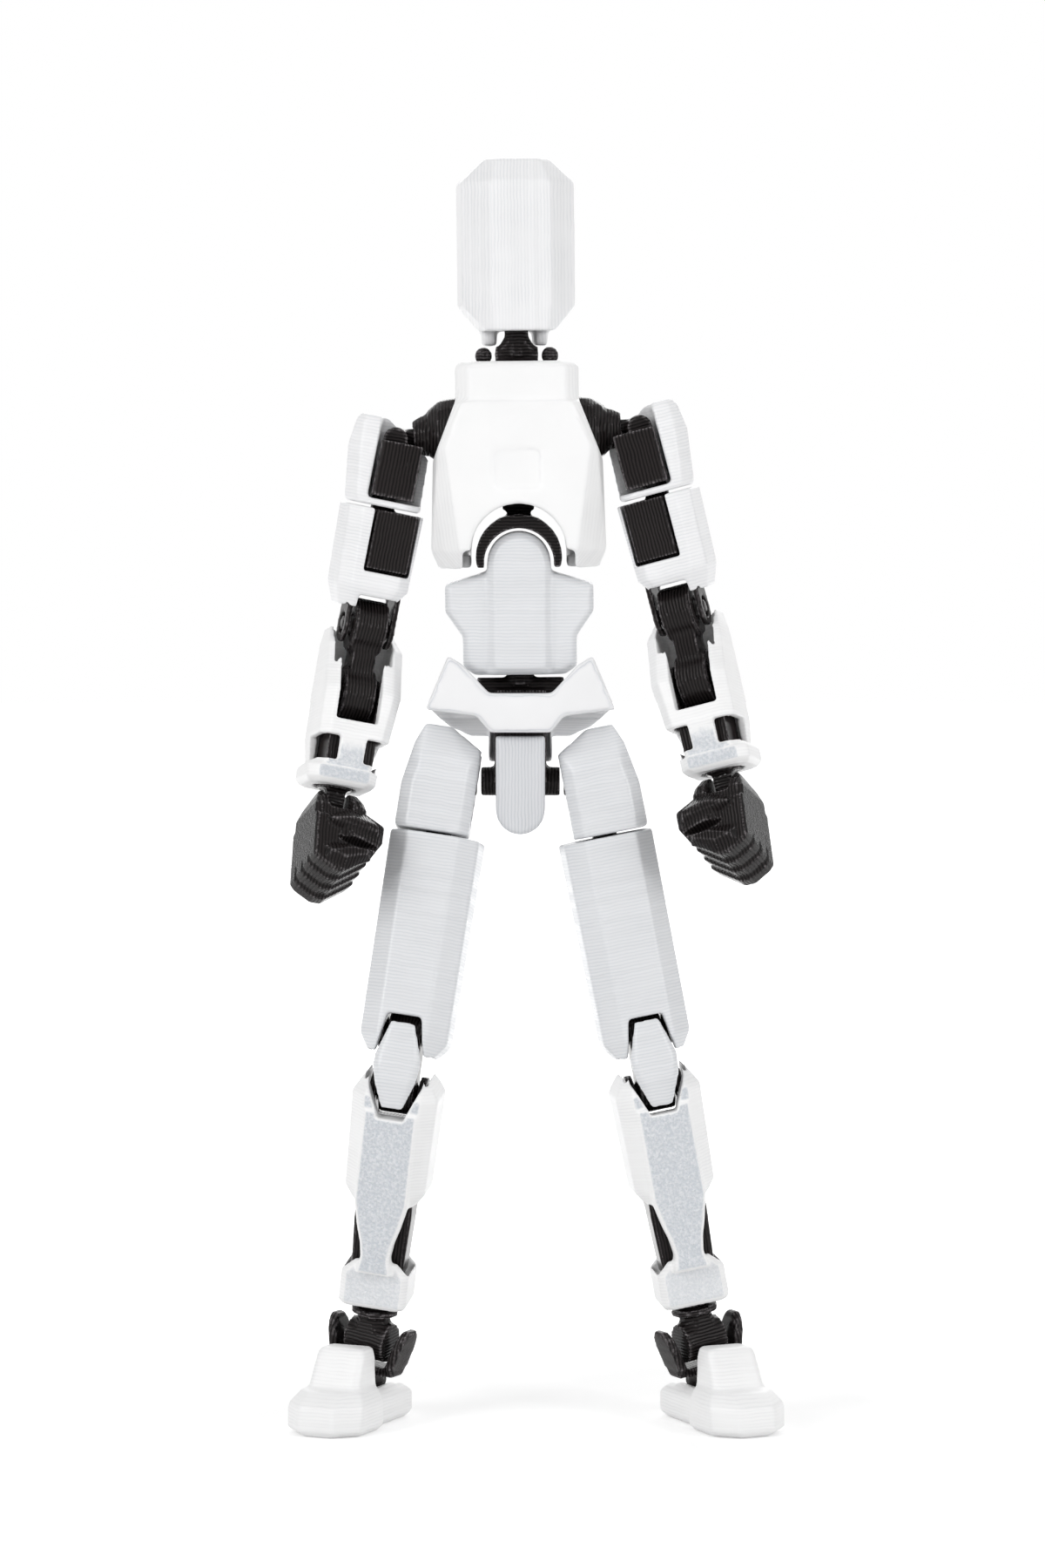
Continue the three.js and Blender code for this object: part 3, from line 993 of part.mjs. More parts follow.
function addArm(which, p) {
  const s = p.side;
  const name = (piece) => `${which}_${piece}`;
  const collarPoint = place(chestBody, s * clavicle.fromMiddle, 0,
    clavicle.aboveDome - diaphragm.hingeRise);

  const clavicleBody = body(collarPoint, aim(s, 0, p.shrug));
  addMesh(clavicleBody, name("clavicle_link"), clavicleLink(), black, s);

  const hingeBody = body(place(clavicleBody, s * clavicle.reach, 0, 0),
    turned(clavicleBody.quaternion, X, -stance.armForward));
  addMesh(hingeBody, name("shoulder_hinge"), shoulderHinge(), black, s);

  const shoulderBody = body(hingeBody.position, turned(hingeBody.quaternion, Y, -s * (p.armOut - p.shrug)));
  addMesh(shoulderBody, name("shoulder_frame"), shoulderFrame(), black, s);
  addMesh(shoulderBody, name("shoulder_armour"), shoulderArmour(), white, s);

  const armBody = body(place(shoulderBody, 0, 0, -shoulder.turnDrop), turned(shoulderBody.quaternion,
    Z, s * stance.armTurn));
  addMesh(armBody, name("upper_arm_frame"), upperArmFrame(), black, s);
  addMesh(armBody, name("upper_arm_armour"), upperArmArmour(), white, s);

  const elbowBody = body(place(armBody, -s * upperArm.elbowInset, 0, -upperArm.turnToElbow),
    turned(armBody.quaternion, X, -stance.elbowUpper));
  addMesh(elbowBody, name("elbow_link"), elbowLink(), black, s);

  const forearmBody = body(place(elbowBody, 0, 0, -elbow.span), turned(elbowBody.quaternion, X,
    -stance.elbowLower));
  addMesh(forearmBody, name("forearm_frame"), forearmFrame(), black, s);
  addMesh(forearmBody, name("forearm_shell"), forearmShell(), white, s);

  const wristBody = body(place(forearmBody, s * forearm.cuffMiddle, 0, -forearm.cuffBottom),
    turned(forearmBody.quaternion, Z, s * stance.wristTurn));
  addMesh(wristBody, name("wrist_link"), wristLink(), black, s);

  const handBody = body(place(wristBody, 0, 0, -wrist.pivotDrop), turned(wristBody.quaternion, X,
    -stance.wristBend));
  addMesh(handBody, name("hand"), handFist(), black, s);

  return [[chestBody, clavicleBody], [clavicleBody, hingeBody], [hingeBody, shoulderBody],
    [shoulderBody, armBody],
    [armBody, elbowBody], [elbowBody, forearmBody], [forearmBody, wristBody], [wristBody, handBody]];
}

const limbs = [...addLeg("right", stance.right, stance.left), ...addLeg("left", stance.left, stance.right),
  ...addArm("right", stance.right), ...addArm("left", stance.left)];

// Each body hangs under the one that carries it, and keeps its place.
for (const [parent, child] of [...trunk, ...limbs]) parent.attach(child);

// The figure is moved so that its soles are on Z = 0 and the middle of its outline is over the origin.
figure.updateMatrixWorld(true);
const bounds = new THREE.Box3();
for (const mesh of meshes) {
  const vertices = mesh.geometry.getAttribute("position");
  for (let i = 0; i < vertices.count; i++)
    bounds.expandByPoint(new THREE.Vector3().fromBufferAttribute(vertices,
      i).applyMatrix4(mesh.matrixWorld));
}
const middle = bounds.getCenter(new THREE.Vector3());
pelvisBody.position.sub(new THREE.Vector3(middle.x, middle.y, bounds.min.z));
figure.updateMatrixWorld(true);

export default figure;
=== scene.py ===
# %% [markdown]
# # A posable printed figure
# The figure is a set of small printed pieces: white armour clipped over a glossy black jointed frame. Every
# rigid piece already exists as a solid with its real size and place. This lesson loads those solids, rounds
# their edges as a print has them, models the fine forms, and gives each piece the finish that it came off
# the printer with.

# %% Load the fixed frame
import json
import math

import bpy
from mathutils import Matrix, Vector


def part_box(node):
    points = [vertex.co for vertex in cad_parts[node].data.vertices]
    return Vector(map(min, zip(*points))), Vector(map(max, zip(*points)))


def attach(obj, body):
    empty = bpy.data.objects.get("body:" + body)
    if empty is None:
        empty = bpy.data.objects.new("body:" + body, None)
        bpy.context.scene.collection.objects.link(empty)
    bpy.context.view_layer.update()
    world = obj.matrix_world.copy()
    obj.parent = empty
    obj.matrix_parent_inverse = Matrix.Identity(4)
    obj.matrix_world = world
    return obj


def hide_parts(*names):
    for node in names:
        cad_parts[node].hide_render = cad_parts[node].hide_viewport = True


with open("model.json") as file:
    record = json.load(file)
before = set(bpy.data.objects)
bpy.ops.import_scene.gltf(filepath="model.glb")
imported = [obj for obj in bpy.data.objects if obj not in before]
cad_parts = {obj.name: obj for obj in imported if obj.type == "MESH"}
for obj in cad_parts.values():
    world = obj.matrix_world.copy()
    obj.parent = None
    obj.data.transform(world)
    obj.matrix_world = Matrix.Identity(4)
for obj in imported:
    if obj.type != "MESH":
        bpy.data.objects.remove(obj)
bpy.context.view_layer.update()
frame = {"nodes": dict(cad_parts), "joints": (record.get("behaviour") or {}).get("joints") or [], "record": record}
nodes = frame["nodes"]
joints = {joint["name"]: joint for joint in frame["joints"]}
bodies = frame["record"]["behaviour"]["bodies"]
body_of = {node: body for body, members in bodies.items() for node in members}

# %% [markdown]
# ## Where things are
# A printed figure is measured in millimetres, but Blender works in metres here, so one name does the
# conversion. Each joint knows its own pivot and axis, and that tells where a limb is and which way it points.

# %% Points and directions of the joints
mm = 0.001
forward, across, up = Vector((0, -1, 0)), Vector((1, 0, 0)), Vector((0, 0, 1))


def pivot(name):
    return Vector(joints[name]["pos_m"])


def upward(name):
    """A limb's own long direction, from a joint that twists it, pointing up."""
    direction = Vector(joints[name]["axis"])
    return direction if direction.z > 0 else -direction


def rightward(name):
    """A limb's own sideways direction, from a joint that bends it, pointing to +X."""
    direction = Vector(joints[name]["axis"])
    return direction if direction.x > 0 else -direction


def frontward(limb_right, limb_up):
    """The direction square to both, pointing to the front."""
    direction = limb_right.cross(limb_up)
    return -direction if direction.y > 0 else direction


print("left thigh points", upward("left_thigh_twist"))
print("left knee turns about", rightward("left_knee_upper"))

# %% [markdown]
# ## The camera
# The photograph looks straight at the figure from about 60 cm away and a little above its middle, with a
# narrow view, so that the tops of the feet are just seen. The frame is 173 mm tall where the body stands.

# %% Camera at the photograph's angle
view_target = Vector((-1.5, 3.0, 70.9)) * mm
view_from = Vector((-1.5, -597.0, 110.0)) * mm
view_height = 173.1 * mm
bpy.ops.object.camera_add(location=view_from)
camera = bpy.context.object
camera.name = "Camera"
camera.rotation_euler = (view_target - view_from).to_track_quat("-Z", "Y").to_euler()
camera.data.sensor_fit = "VERTICAL"
camera.data.angle = 2 * math.atan(view_height / 2 / (view_target - view_from).length)
camera.data.clip_start = 0.01
bpy.context.scene.camera = camera
print("the view is", round(math.degrees(camera.data.angle), 2), "degrees tall")

# %% [markdown]
# ## Helpers for materials
# Shaders count in linear light, and colours are written as sRGB hex codes, so one function turns one into
# the other. A second one adds a node with its settings and links, and all materials are made with it. A third
# starts a new material with nothing in it.

# %% Colours and nodes
def colour(hex_code):
    """An sRGB hex colour as the linear values that shaders use."""
    parts = [int(hex_code[i:i + 2], 16) / 255 for i in (1, 3, 5)]
    return tuple(p / 12.92 if p <= 0.04045 else ((p + 0.055) / 1.055) ** 2.4 for p in parts) + (1.0,)


def add_node(tree, kind, settings=None, **links):
    """Adds a node, sets what it is told, and links its inputs.

    A link's name is the input's, with _ for a space, or _ and the input's number.
    """
    node = tree.nodes.new(kind)
    for key, value in (settings or {}).items():
        if isinstance(key, int) or key in node.inputs:
            node.inputs[key].default_value = value
        else:
            setattr(node, key, value)
    for key, source in links.items():
        plug = int(key[1:]) if key[0] == "_" else key.replace("_", " ")
        tree.links.new(source, node.inputs[plug])
    return node


def new_material(name):
    """A material with an empty node tree, and that tree."""
    look = bpy.data.materials.new(name)
    look.use_nodes = True
    look.node_tree.nodes.clear()
    return look, look.node_tree


print("white paper in linear light:", [round(part, 3) for part in colour("#f2f2f2")])

# %% [markdown]
# ## The white surroundings
# The figure stands in white surroundings, as in a light tent. The sky could simply be white and bright, but
# then it would wash out the pale armour. So it lights the figure at less than half of that, and only what is
# seen of it, directly or mirrored in gloss, is pure white.

# %% Sky
sky_level = 0.44


def seen_or_mirrored(tree):
    """1 for what the camera sees itself, in a gloss or through something clear, and 0 for lighting."""
    ray = add_node(tree, "ShaderNodeLightPath")
    either = add_node(tree, "ShaderNodeMath", {"operation": "ADD", "use_clamp": True},
                      _0=ray.outputs["Is Camera Ray"], _1=ray.outputs["Is Glossy Ray"])
    every = add_node(tree, "ShaderNodeMath", {"operation": "ADD", "use_clamp": True},
                     _0=either.outputs[0], _1=ray.outputs["Is Transmission Ray"])
    return every.outputs[0]


world = bpy.data.worlds.new("LightTent")
bpy.context.scene.world = world
world.use_nodes = True
sky = world.node_tree
sky.nodes.clear()
light = add_node(sky, "ShaderNodeBackground", {"Color": colour("#ffffff"), "Strength": sky_level})
seen = add_node(sky, "ShaderNodeBackground", {"Color": colour("#ffffff"), "Strength": 1.0})
mixed = add_node(sky, "ShaderNodeMixShader", _0=seen_or_mirrored(sky), _1=light.outputs[0],
                 _2=seen.outputs[0])
add_node(sky, "ShaderNodeOutputWorld", Surface=mixed.outputs[0])
print("the sky lights at", sky_level, "and is seen at 1")

# %% [markdown]
# ## The floor
# The floor is a sheet of white paper. Near the figure most of its brightness is the light that falls on it,
# so it takes a soft shadow there. Further out it glows white by itself, and no edge shows between paper and
# sky.

# %% Floor
paper_glow = {"From Min": 40 * mm, "From Max": 110 * mm, "To Min": 0.33, "To Max": 1.0}
just_below = -0.02 * mm
bpy.ops.mesh.primitive_circle_add(vertices=64, radius=1.6, fill_type="NGON", location=(0, 0, just_below))
floor = bpy.context.object
floor.name = "Floor"
paper, tree = new_material("WhitePaperFloor")
matte = add_node(tree, "ShaderNodeBsdfDiffuse", {"Color": colour("#f2f2f2")})
spot = add_node(tree, "ShaderNodeTexCoord")
reach = add_node(tree, "ShaderNodeVectorMath", {"operation": "LENGTH"}, _0=spot.outputs["Object"])
own = add_node(tree, "ShaderNodeMapRange", paper_glow, Value=reach.outputs["Value"])
seen_part = add_node(tree, "ShaderNodeMath", {"operation": "MULTIPLY"}, _0=seen_or_mirrored(tree),
                     _1=own.outputs[0])
glow = add_node(tree, "ShaderNodeEmission", {"Color": colour("#ffffff")}, Strength=seen_part.outputs[0])
both = add_node(tree, "ShaderNodeAddShader", _0=matte.outputs[0], _1=glow.outputs[0])
add_node(tree, "ShaderNodeOutputMaterial", Surface=both.outputs[0])
floor.data.materials.append(paper)
print("the floor glows", paper_glow["To Min"], "near the feet and", paper_glow["To Max"], "further out")

# %% [markdown]
# ## The lamps
# Three soft lamps in front model the forms, one more lights the back, and two small bright ones put glints on
# the glossy frame. Their power is just so much that a pale surface doesn't clip to white. All point at mid
# height. Places and sizes are in metres, power is in watts.

# %% Four soft lamps and two small ones
lamps = [
    ("KeyLamp", (-0.54, -0.42, 0.40), (0.28, 0.40), 1.4),
    ("FillLamp", (0.58, -0.38, 0.25), (0.28, 0.40), 1.05),
    ("TopLamp", (0.0, -0.30, 0.62), (0.40, 0.10), 0.28),
    ("BackLamp", (0.10, 0.62, 0.42), (0.50, 0.40), 1.4),
    ("LeftGlint", (-0.46, -0.52, 0.22), (0.02, 0.12), 0.5),
    ("RightGlint", (0.50, -0.50, 0.30), (0.02, 0.12), 0.4),
]
mid_height = Vector((0, 0, 0.07))
for name, place, size, watts in lamps:
    bpy.ops.object.light_add(type="AREA", location=place)
    lamp = bpy.context.object
    lamp.name = name
    lamp.data.shape = "RECTANGLE"
    lamp.data.size, lamp.data.size_y = size
    lamp.data.energy = watts
    lamp.rotation_euler = (mid_height - Vector(place)).to_track_quat("-Z", "Y").to_euler()
    print(name, size, "m,", watts, "W")

# %% [markdown]
# ## Print coordinates
# A print is laid down in layers, and each piece lies on the printer in its own way: an arm block has its lines
# along the arm, a thigh has them across. So each piece carries its own print coordinates, in millimetres, as an
# attribute of its mesh, with the layers stacked along their Z. A second attribute says how steep the surface is:
# layers show on walls and slopes, and a flat top hides them. A third marks the outer edges, where the black
# plastic gets a painted glint. One material then suits every piece of its kind.

# %% Find the outer edges of a piece
def edge_shares(mesh):
    """1 for each point on a sharp outer edge, 0 on a flat or hollow one.

    Next to an outer edge, the neighbours of a point lie below the plane that touches it. How far below,
    against their distance, is averaged: up to flat it counts as flat, and full more is a sharp edge.
    """
    flat, full = 0.05, 0.13
    below = [0.0] * len(mesh.vertices)
    neighbours = [0] * len(mesh.vertices)
    for edge in mesh.edges:
        near, far = (mesh.vertices[i] for i in edge.vertices)
        run = (far.co - near.co).normalized()
        below[near.index] -= run.dot(near.normal)
        below[far.index] += run.dot(far.normal)
        neighbours[near.index] += 1
        neighbours[far.index] += 1
    return [min(max((b / max(n, 1) - flat) / full, 0), 1) for b, n in zip(below, neighbours)]


# %% Give a piece its print coordinates
def add_attribute(mesh, name, kind, field, values):
    mesh.attributes.new(name, kind, "POINT").data.foreach_set(field, values)


def lay_on_bed(piece, stacked):
    """Writes each point's place in millimetres, layers stacked along Z, its steepness and its edge."""
    stacked = Vector(stacked).normalized()
    turn = stacked.rotation_difference(up)
    places = []
    steepness = []
    for vertex in piece.data.vertices:
        places += list(turn @ (vertex.co / mm))
        steepness.append(1 - abs(vertex.normal.dot(stacked)))
    # how much each point is an outer edge, which the black plastic paints paler as a glint
    edge_glint = edge_shares(piece.data)
    add_attribute(piece.data, "print_mm", "FLOAT_VECTOR", "vector", places)
    add_attribute(piece.data, "print_steep", "FLOAT", "value", steepness)
    add_attribute(piece.data, "print_glint_edge", "FLOAT", "value", edge_glint)


# %% [markdown]
# ## Printed plastic
# PLA straight from the printer is an opaque plastic with a satin skin, IOR about 1.46. Up close it is never
# flat: each layer is a rounded bead with a sharp valley to the next, some beads lie a little prouder or
# glossier than others, and the tone drifts slowly over the piece. The real bead is 0.2 to 0.4 mm thick, and
# the finer ones are too fine for the picture, so all are drawn at 0.36 mm. The patterns below are noises
# whose scale is in spots per millimetre.

# %% Beads, and where they show
bead_width = 0.36
nozzle_shiver = 0.3


def bead_nodes(tree, place):
    """The height across each bead, 0 in the valleys and 1 on top, and a number by chance for each bead."""
    # the nozzle shivers by up to 0.3 mm, about every 2 mm, so the beads aren't ruled lines
    shiver = add_node(tree, "ShaderNodeTexNoise", {"Scale": 0.55, "Detail": 2.0}, Vector=place)
    shift = add_node(tree, "ShaderNodeMath", {"operation": "MULTIPLY", 1: nozzle_shiver},
                     _0=shiver.outputs[0])
    parts = add_node(tree, "ShaderNodeSeparateXYZ", Vector=place)
    height = add_node(tree, "ShaderNodeMath", {"operation": "ADD"}, _0=parts.outputs["Z"],
                      _1=shift.outputs[0])
    count = add_node(tree, "ShaderNodeMath", {"operation": "DIVIDE", 1: bead_width}, _0=height.outputs[0])
    # a bead's section: round on top, sharp where it meets the next
    turn = add_node(tree, "ShaderNodeMath", {"operation": "MULTIPLY", 1: math.pi}, _0=count.outputs[0])
    wave = add_node(tree, "ShaderNodeMath", {"operation": "SINE"}, _0=turn.outputs[0])
    bead = add_node(tree, "ShaderNodeMath", {"operation": "ABSOLUTE"}, _0=wave.outputs[0])
    order = add_node(tree, "ShaderNodeMath", {"operation": "FLOOR"}, _0=count.outputs[0])
    chance = add_node(tree, "ShaderNodeTexWhiteNoise", {"noise_dimensions": "1D"}, W=order.outputs[0])
    return bead.outputs[0], chance.outputs[0]


def clearness_node(tree, place, patchy):
    """How clearly the beads show: they melt together in patches, and aren't seen on a flat top."""
    # patches of 4 to 5 mm
    area = add_node(tree, "ShaderNodeTexNoise", {"Scale": 0.22, "Detail": 2.0}, Vector=place)
    melted = add_node(tree, "ShaderNodeMapRange",
                      {"From Min": 0.38, "From Max": 0.62, "To Min": 1 - patchy}, Value=area.outputs[0])
    # beads begin to show at a slope of 5 degrees, and show fully at 20
    steep = add_node(tree, "ShaderNodeAttribute", {"attribute_name": "print_steep"})
    wall = add_node(tree, "ShaderNodeMapRange", {"From Min": 0.004, "From Max": 0.06},
                    Value=steep.outputs["Fac"])
    clear = add_node(tree, "ShaderNodeMath", {"operation": "MULTIPLY"}, _0=melted.outputs[0],
                     _1=wall.outputs[0])
    return clear.outputs[0]


print("beads are", bead_width, "mm wide")

# %% [markdown]
# ### From beads to a plastic
# The beads move the bump, the colour and the roughness. Valleys are painted darker than bead tops, as painted
# shade in the grooves, and each bead has a height, tone and gloss of its own. Where a plastic has an edge colour,
# its outer edges are painted in it, as a painted glint.

# %% Layered plastic
def printed_plastic(name, hex_code, valley_shade_hex, rough, relief, specular=0.5, patchy=0.6, sharp=0.45,
                    edge_hex=None):
    """Plastic in beads that stack along the piece's print Z.

    Relief is in millimetres, patchy is how much the beads melt away, and sharp narrows the valleys. The valley
    colour is painted shade in the grooves, and the edge colour is a painted glint on the outer edges.
    """
    look, tree = new_material(name)
    place = add_node(tree, "ShaderNodeAttribute", {"attribute_name": "print_mm"}).outputs["Vector"]
    bead, chance = bead_nodes(tree, place)
    clear = clearness_node(tree, place, patchy)
    # a bead stands up to half its height prouder, and grit of a third of a millimetre lies over all
    grit = add_node(tree, "ShaderNodeTexNoise", {"Scale": 3.0, "Detail": 2.0}, Vector=place)
    step = add_node(tree, "ShaderNodeMath", {"operation": "MULTIPLY_ADD", 1: 0.5}, _0=chance, _2=bead)
    lines = add_node(tree, "ShaderNodeMath", {"operation": "MULTIPLY"}, _0=step.outputs[0], _1=clear)
    skin = add_node(tree, "ShaderNodeMath", {"operation": "MULTIPLY_ADD", 1: 0.35}, _0=grit.outputs[0],
                    _2=lines.outputs[0])
    bump = add_node(tree, "ShaderNodeBump", {"Strength": 1.0, "Distance": relief * mm},
                    Height=skin.outputs[0])
    # how deep in a valley, which sets how much painted shade the valley colour gives
    valley = add_node(tree, "ShaderNodeMath", {"operation": "POWER", 1: sharp}, _0=bead)
    depth = add_node(tree, "ShaderNodeMath", {"operation": "SUBTRACT", 0: 1.0}, _1=valley.outputs[0])
    valley_shade = add_node(tree, "ShaderNodeMath", {"operation": "MULTIPLY"}, _0=depth.outputs[0], _1=clear)
    # the outer edges get the edge colour in spots, not all along, as a painted glint
    edge = add_node(tree, "ShaderNodeAttribute", {"attribute_name": "print_glint_edge"})
    glint_spots = add_node(tree, "ShaderNodeMapRange", {"From Min": 0.32, "From Max": 0.56},
                       Value=grit.outputs[0])
    edge_glint = add_node(tree, "ShaderNodeMath", {"operation": "MULTIPLY"}, _0=edge.outputs["Fac"],
                      _1=glint_spots.outputs[0])
    body = add_node(tree, "ShaderNodeMix", {"data_type": "RGBA", 6: colour(hex_code),
                                            7: colour(edge_hex or hex_code)}, _0=edge_glint.outputs[0])
    lined = add_node(tree, "ShaderNodeMix", {"data_type": "RGBA", 7: colour(valley_shade_hex)},
                     _0=valley_shade.outputs[0], _6=body.outputs[2])
    # the tone drifts by up to a tenth over the piece, about every 8 mm, and by 0.03 from bead to bead
    drift = add_node(tree, "ShaderNodeTexNoise", {"Scale": 0.12, "Detail": 3.0}, Vector=place)
    tone = add_node(tree, "ShaderNodeMath", {"operation": "MULTIPLY_ADD", 1: 0.1, 2: 0.94},
                    _0=drift.outputs[0])
    varied = add_node(tree, "ShaderNodeMath", {"operation": "MULTIPLY_ADD", 1: 0.03}, _0=chance,
                      _2=tone.outputs[0])
    toned = add_node(tree, "ShaderNodeVectorMath", {"operation": "SCALE"}, _0=lined.outputs[2],
                     _3=varied.outputs[0])
    # one bead is glossier than the next, by up to 0.06 either way
    gloss = add_node(tree, "ShaderNodeMath", {"operation": "MULTIPLY_ADD", 1: 0.12, 2: rough - 0.06},
                     _0=chance)
    shine = add_node(tree, "ShaderNodeBsdfPrincipled",
                     {"IOR": 1.46, "Metallic": 0.0, "Specular IOR Level": specular},
                     Base_Color=toned.outputs[0], Roughness=gloss.outputs[0], Normal=bump.outputs[0])
    add_node(tree, "ShaderNodeOutputMaterial", Surface=shine.outputs[0])
    return look


# %% [markdown]
# ### The plastics of the figure
# All white pieces are the same white PLA, and they differ by how they lay on the printer. Their base tones differ
# as well, palest on the smooth pieces and darkest on the plate below the belly: that is partly their lines and
# partly painted shade. The head, the upper arms and the back of the pelvis show soft layers. The chest, forearms,
# shins and feet are nearly smooth. The belly, hips, thighs and kneecaps show open lines, and the plate below the
# belly close, clear ones, in a darker tone that is painted shade, as it sits in shade. The front of the pelvis
# slopes so little that its layers widen into contour lines. The black PLA is glossier, painted deep black between
# its beads as shade in the grooves, and painted paler on the edges as a glint.

# %% White and black plastics
# the second colour of each plastic is painted shade in the valleys between its beads
white_pla = printed_plastic("WhitePLAPrintedInLayers", "#f3f3f4", "#dcdee1", rough=0.34, relief=0.01)
white_smooth = printed_plastic("WhitePLASmoothTopSkin", "#f9f9f9", "#ececed", rough=0.4, relief=0.005,
                               patchy=0.9)
white_lined = printed_plastic("WhitePLAWithOpenLines", "#e6e7e9", "#ccd0d5", rough=0.32, relief=0.006,
                              patchy=0.35)
# this darker tone is painted shade, as the plate below the belly sits in shade
white_dense_shaded = printed_plastic("WhitePLAWithCloseLinesInPaintedShade", "#dbdcdf", "#b8bcc2", rough=0.34, relief=0.01,
                              patchy=0.3)
white_contour = printed_plastic("WhitePLAWithContourLines", "#f3f3f4", "#c6c9cf", rough=0.36, relief=0.012,
                                patchy=0.45)
# the black plastic's edge colour is a painted glint on its outer edges
black_pla = printed_plastic("BlackPLAPrintedInLines", "#2b2727", "#010101", rough=0.12, relief=0.035,
                            specular=0.09, patchy=0.2, sharp=1.2, edge_hex="#8d888a")
layered = (white_pla, white_smooth, white_lined, white_dense_shaded, white_contour, black_pla)
print("layered plastics:", [look.name for look in layered])

# %% [markdown]
# ## Faces that lay on the printer's bed
# A textured steel bed leaves its grain in the first layer: a fine frosted speckle on the shins and the cuffs
# of the forearms, and a coarse sparkling one on the backs of the black fists. It is a cell pattern, not
# lines. The grain is given in millimetres, and the speckle fades to the piece's own colour where the bed's
# print ends.

# %% Bed-textured plastic
def bed_plastic(name, hex_code, pit_hex, edge_hex, rough, grain, relief, specular=0.5):
    """Plastic with the grain of a textured bed, that fades to the piece's own colour at its edge."""
    look, tree = new_material(name)
    place = add_node(tree, "ShaderNodeAttribute", {"attribute_name": "print_mm"}).outputs["Vector"]
    share = add_node(tree, "ShaderNodeAttribute", {"attribute_name": "print_bed"}).outputs["Fac"]
    blots = add_node(tree, "ShaderNodeTexNoise", {"Scale": 1 / grain, "Detail": 3.0, "Roughness": 0.6},
                     Vector=place)
    grains = add_node(tree, "ShaderNodeTexVoronoi", {"feature": "SMOOTH_F1", "Scale": 1.2 / grain},
                      Vector=place)
    pits = add_node(tree, "ShaderNodeMapRange", {"From Min": 0.4, "From Max": 0.64}, Value=blots.outputs[0])
    height = add_node(tree, "ShaderNodeMath", {"operation": "MULTIPLY_ADD", 1: 0.7},
                      _0=grains.outputs["Distance"], _2=pits.outputs[0])
    worn = add_node(tree, "ShaderNodeMath", {"operation": "MULTIPLY"}, _0=height.outputs[0], _1=share)
    bump = add_node(tree, "ShaderNodeBump", {"Strength": 1.0, "Distance": relief * mm},
                    Height=worn.outputs[0])
    speckled = add_node(tree, "ShaderNodeMix", {"data_type": "RGBA", 6: colour(pit_hex), 7: colour(hex_code)},
                        _0=pits.outputs[0])
    faded = add_node(tree, "ShaderNodeMix", {"data_type": "RGBA", 6: colour(edge_hex)}, _0=share,
                     _7=speckled.outputs[2])
    # the grain's gloss varies by up to 0.1 either way
    gloss = add_node(tree, "ShaderNodeMath", {"operation": "MULTIPLY_ADD", 1: 0.2, 2: rough - 0.1},
                     _0=blots.outputs[0])
    shine = add_node(tree, "ShaderNodeBsdfPrincipled",
                     {"IOR": 1.46, "Metallic": 0.0, "Specular IOR Level": specular},
                     Base_Color=faded.outputs[2], Roughness=gloss.outputs[0], Normal=bump.outputs[0])
    add_node(tree, "ShaderNodeOutputMaterial", Surface=shine.outputs[0])
    return look


white_bed = bed_plastic("WhitePLAFromTexturedBed", "#e6e8ec", "#cdd2d8", "#f9f9f9", rough=0.42, grain=0.3,
                        relief=0.05)
black_bed = bed_plastic("BlackPLAFromTexturedBed", "#232121", "#020202", "#1c1a1a", rough=0.2, grain=0.4,
                        relief=0.07, specular=0.12)
print("bed plastics:", white_bed.name, black_bed.name)

# %% [markdown]
# ## Softened edges
# No printed edge is knife sharp: the bead rounds every corner by about its own width, outside and inside. A
# bevel would stop at the smallest edge of a cut shell, so each solid gets a new even skin instead: a voxel
# remesh makes it of small equal squares, and relaxing that skin a few times rounds all edges alike and leaves
# flat faces flat. Thin walls need finer squares, or they break up, and finer squares need more rounds for the
# same roundness. Some black pieces end flush with a white shell, so all of them but the fists are sunk a
# hair, and the shells cover them cleanly. At last half of the triangles go, so that the figure stays light.

# %% Copy a solid with a softened skin
def select_only(piece):
    bpy.ops.object.select_all(action="DESELECT")
    piece.select_set(True)
    bpy.context.view_layer.objects.active = piece


def add_and_apply(piece, kind, **settings):
    """Adds a modifier to the active piece, sets it and applies it."""
    change = piece.modifiers.new(kind.capitalize(), kind)
    for key, value in settings.items():
        setattr(change, key, value)
    bpy.ops.object.modifier_apply(modifier=change.name)


def softened_copy(node, name, grain, rounds, sunk=0.0, grown=(), carved=()):
    """A copy of a solid, with forms carved out and grown on, its skin relaxed and sunk.

    Grain, which is the side of the skin's squares, and sunk are in millimetres. The forms are used up.
    """
    piece = bpy.data.objects.new(name, nodes[node].data.copy())
    bpy.context.scene.collection.objects.link(piece)
    select_only(piece)
    if carved:
        bpy.ops.object.mode_set(mode="EDIT")
        bpy.ops.mesh.select_all(action="SELECT")
        bpy.ops.mesh.remove_doubles(threshold=0.001 * mm)
        bpy.ops.object.mode_set(mode="OBJECT")
    for form in carved:
        add_and_apply(piece, "BOOLEAN", operation="DIFFERENCE", solver="EXACT", object=form)
        bpy.data.objects.remove(form)
    for form in grown:
        form.select_set(True)
    if grown:
        bpy.ops.object.join()
    add_and_apply(piece, "REMESH", mode="VOXEL", voxel_size=grain * mm)
    add_and_apply(piece, "SMOOTH", factor=0.5, iterations=rounds)
    if sunk:
        add_and_apply(piece, "DISPLACE", mid_level=0, strength=-sunk * mm)
    add_and_apply(piece, "DECIMATE", ratio=0.5)
    bpy.ops.object.shade_smooth()
    return piece


# %% [markdown]
# ## Handing a piece over
# A finished piece gets its print coordinates and its plastics, moves with the body that its solid moves with,
# and stands for that solid. Some pieces also have one side that lay on the bed. That side is found by where
# its points look and lie, and each point gets a share of the speckle, so that the speckle ends softly.

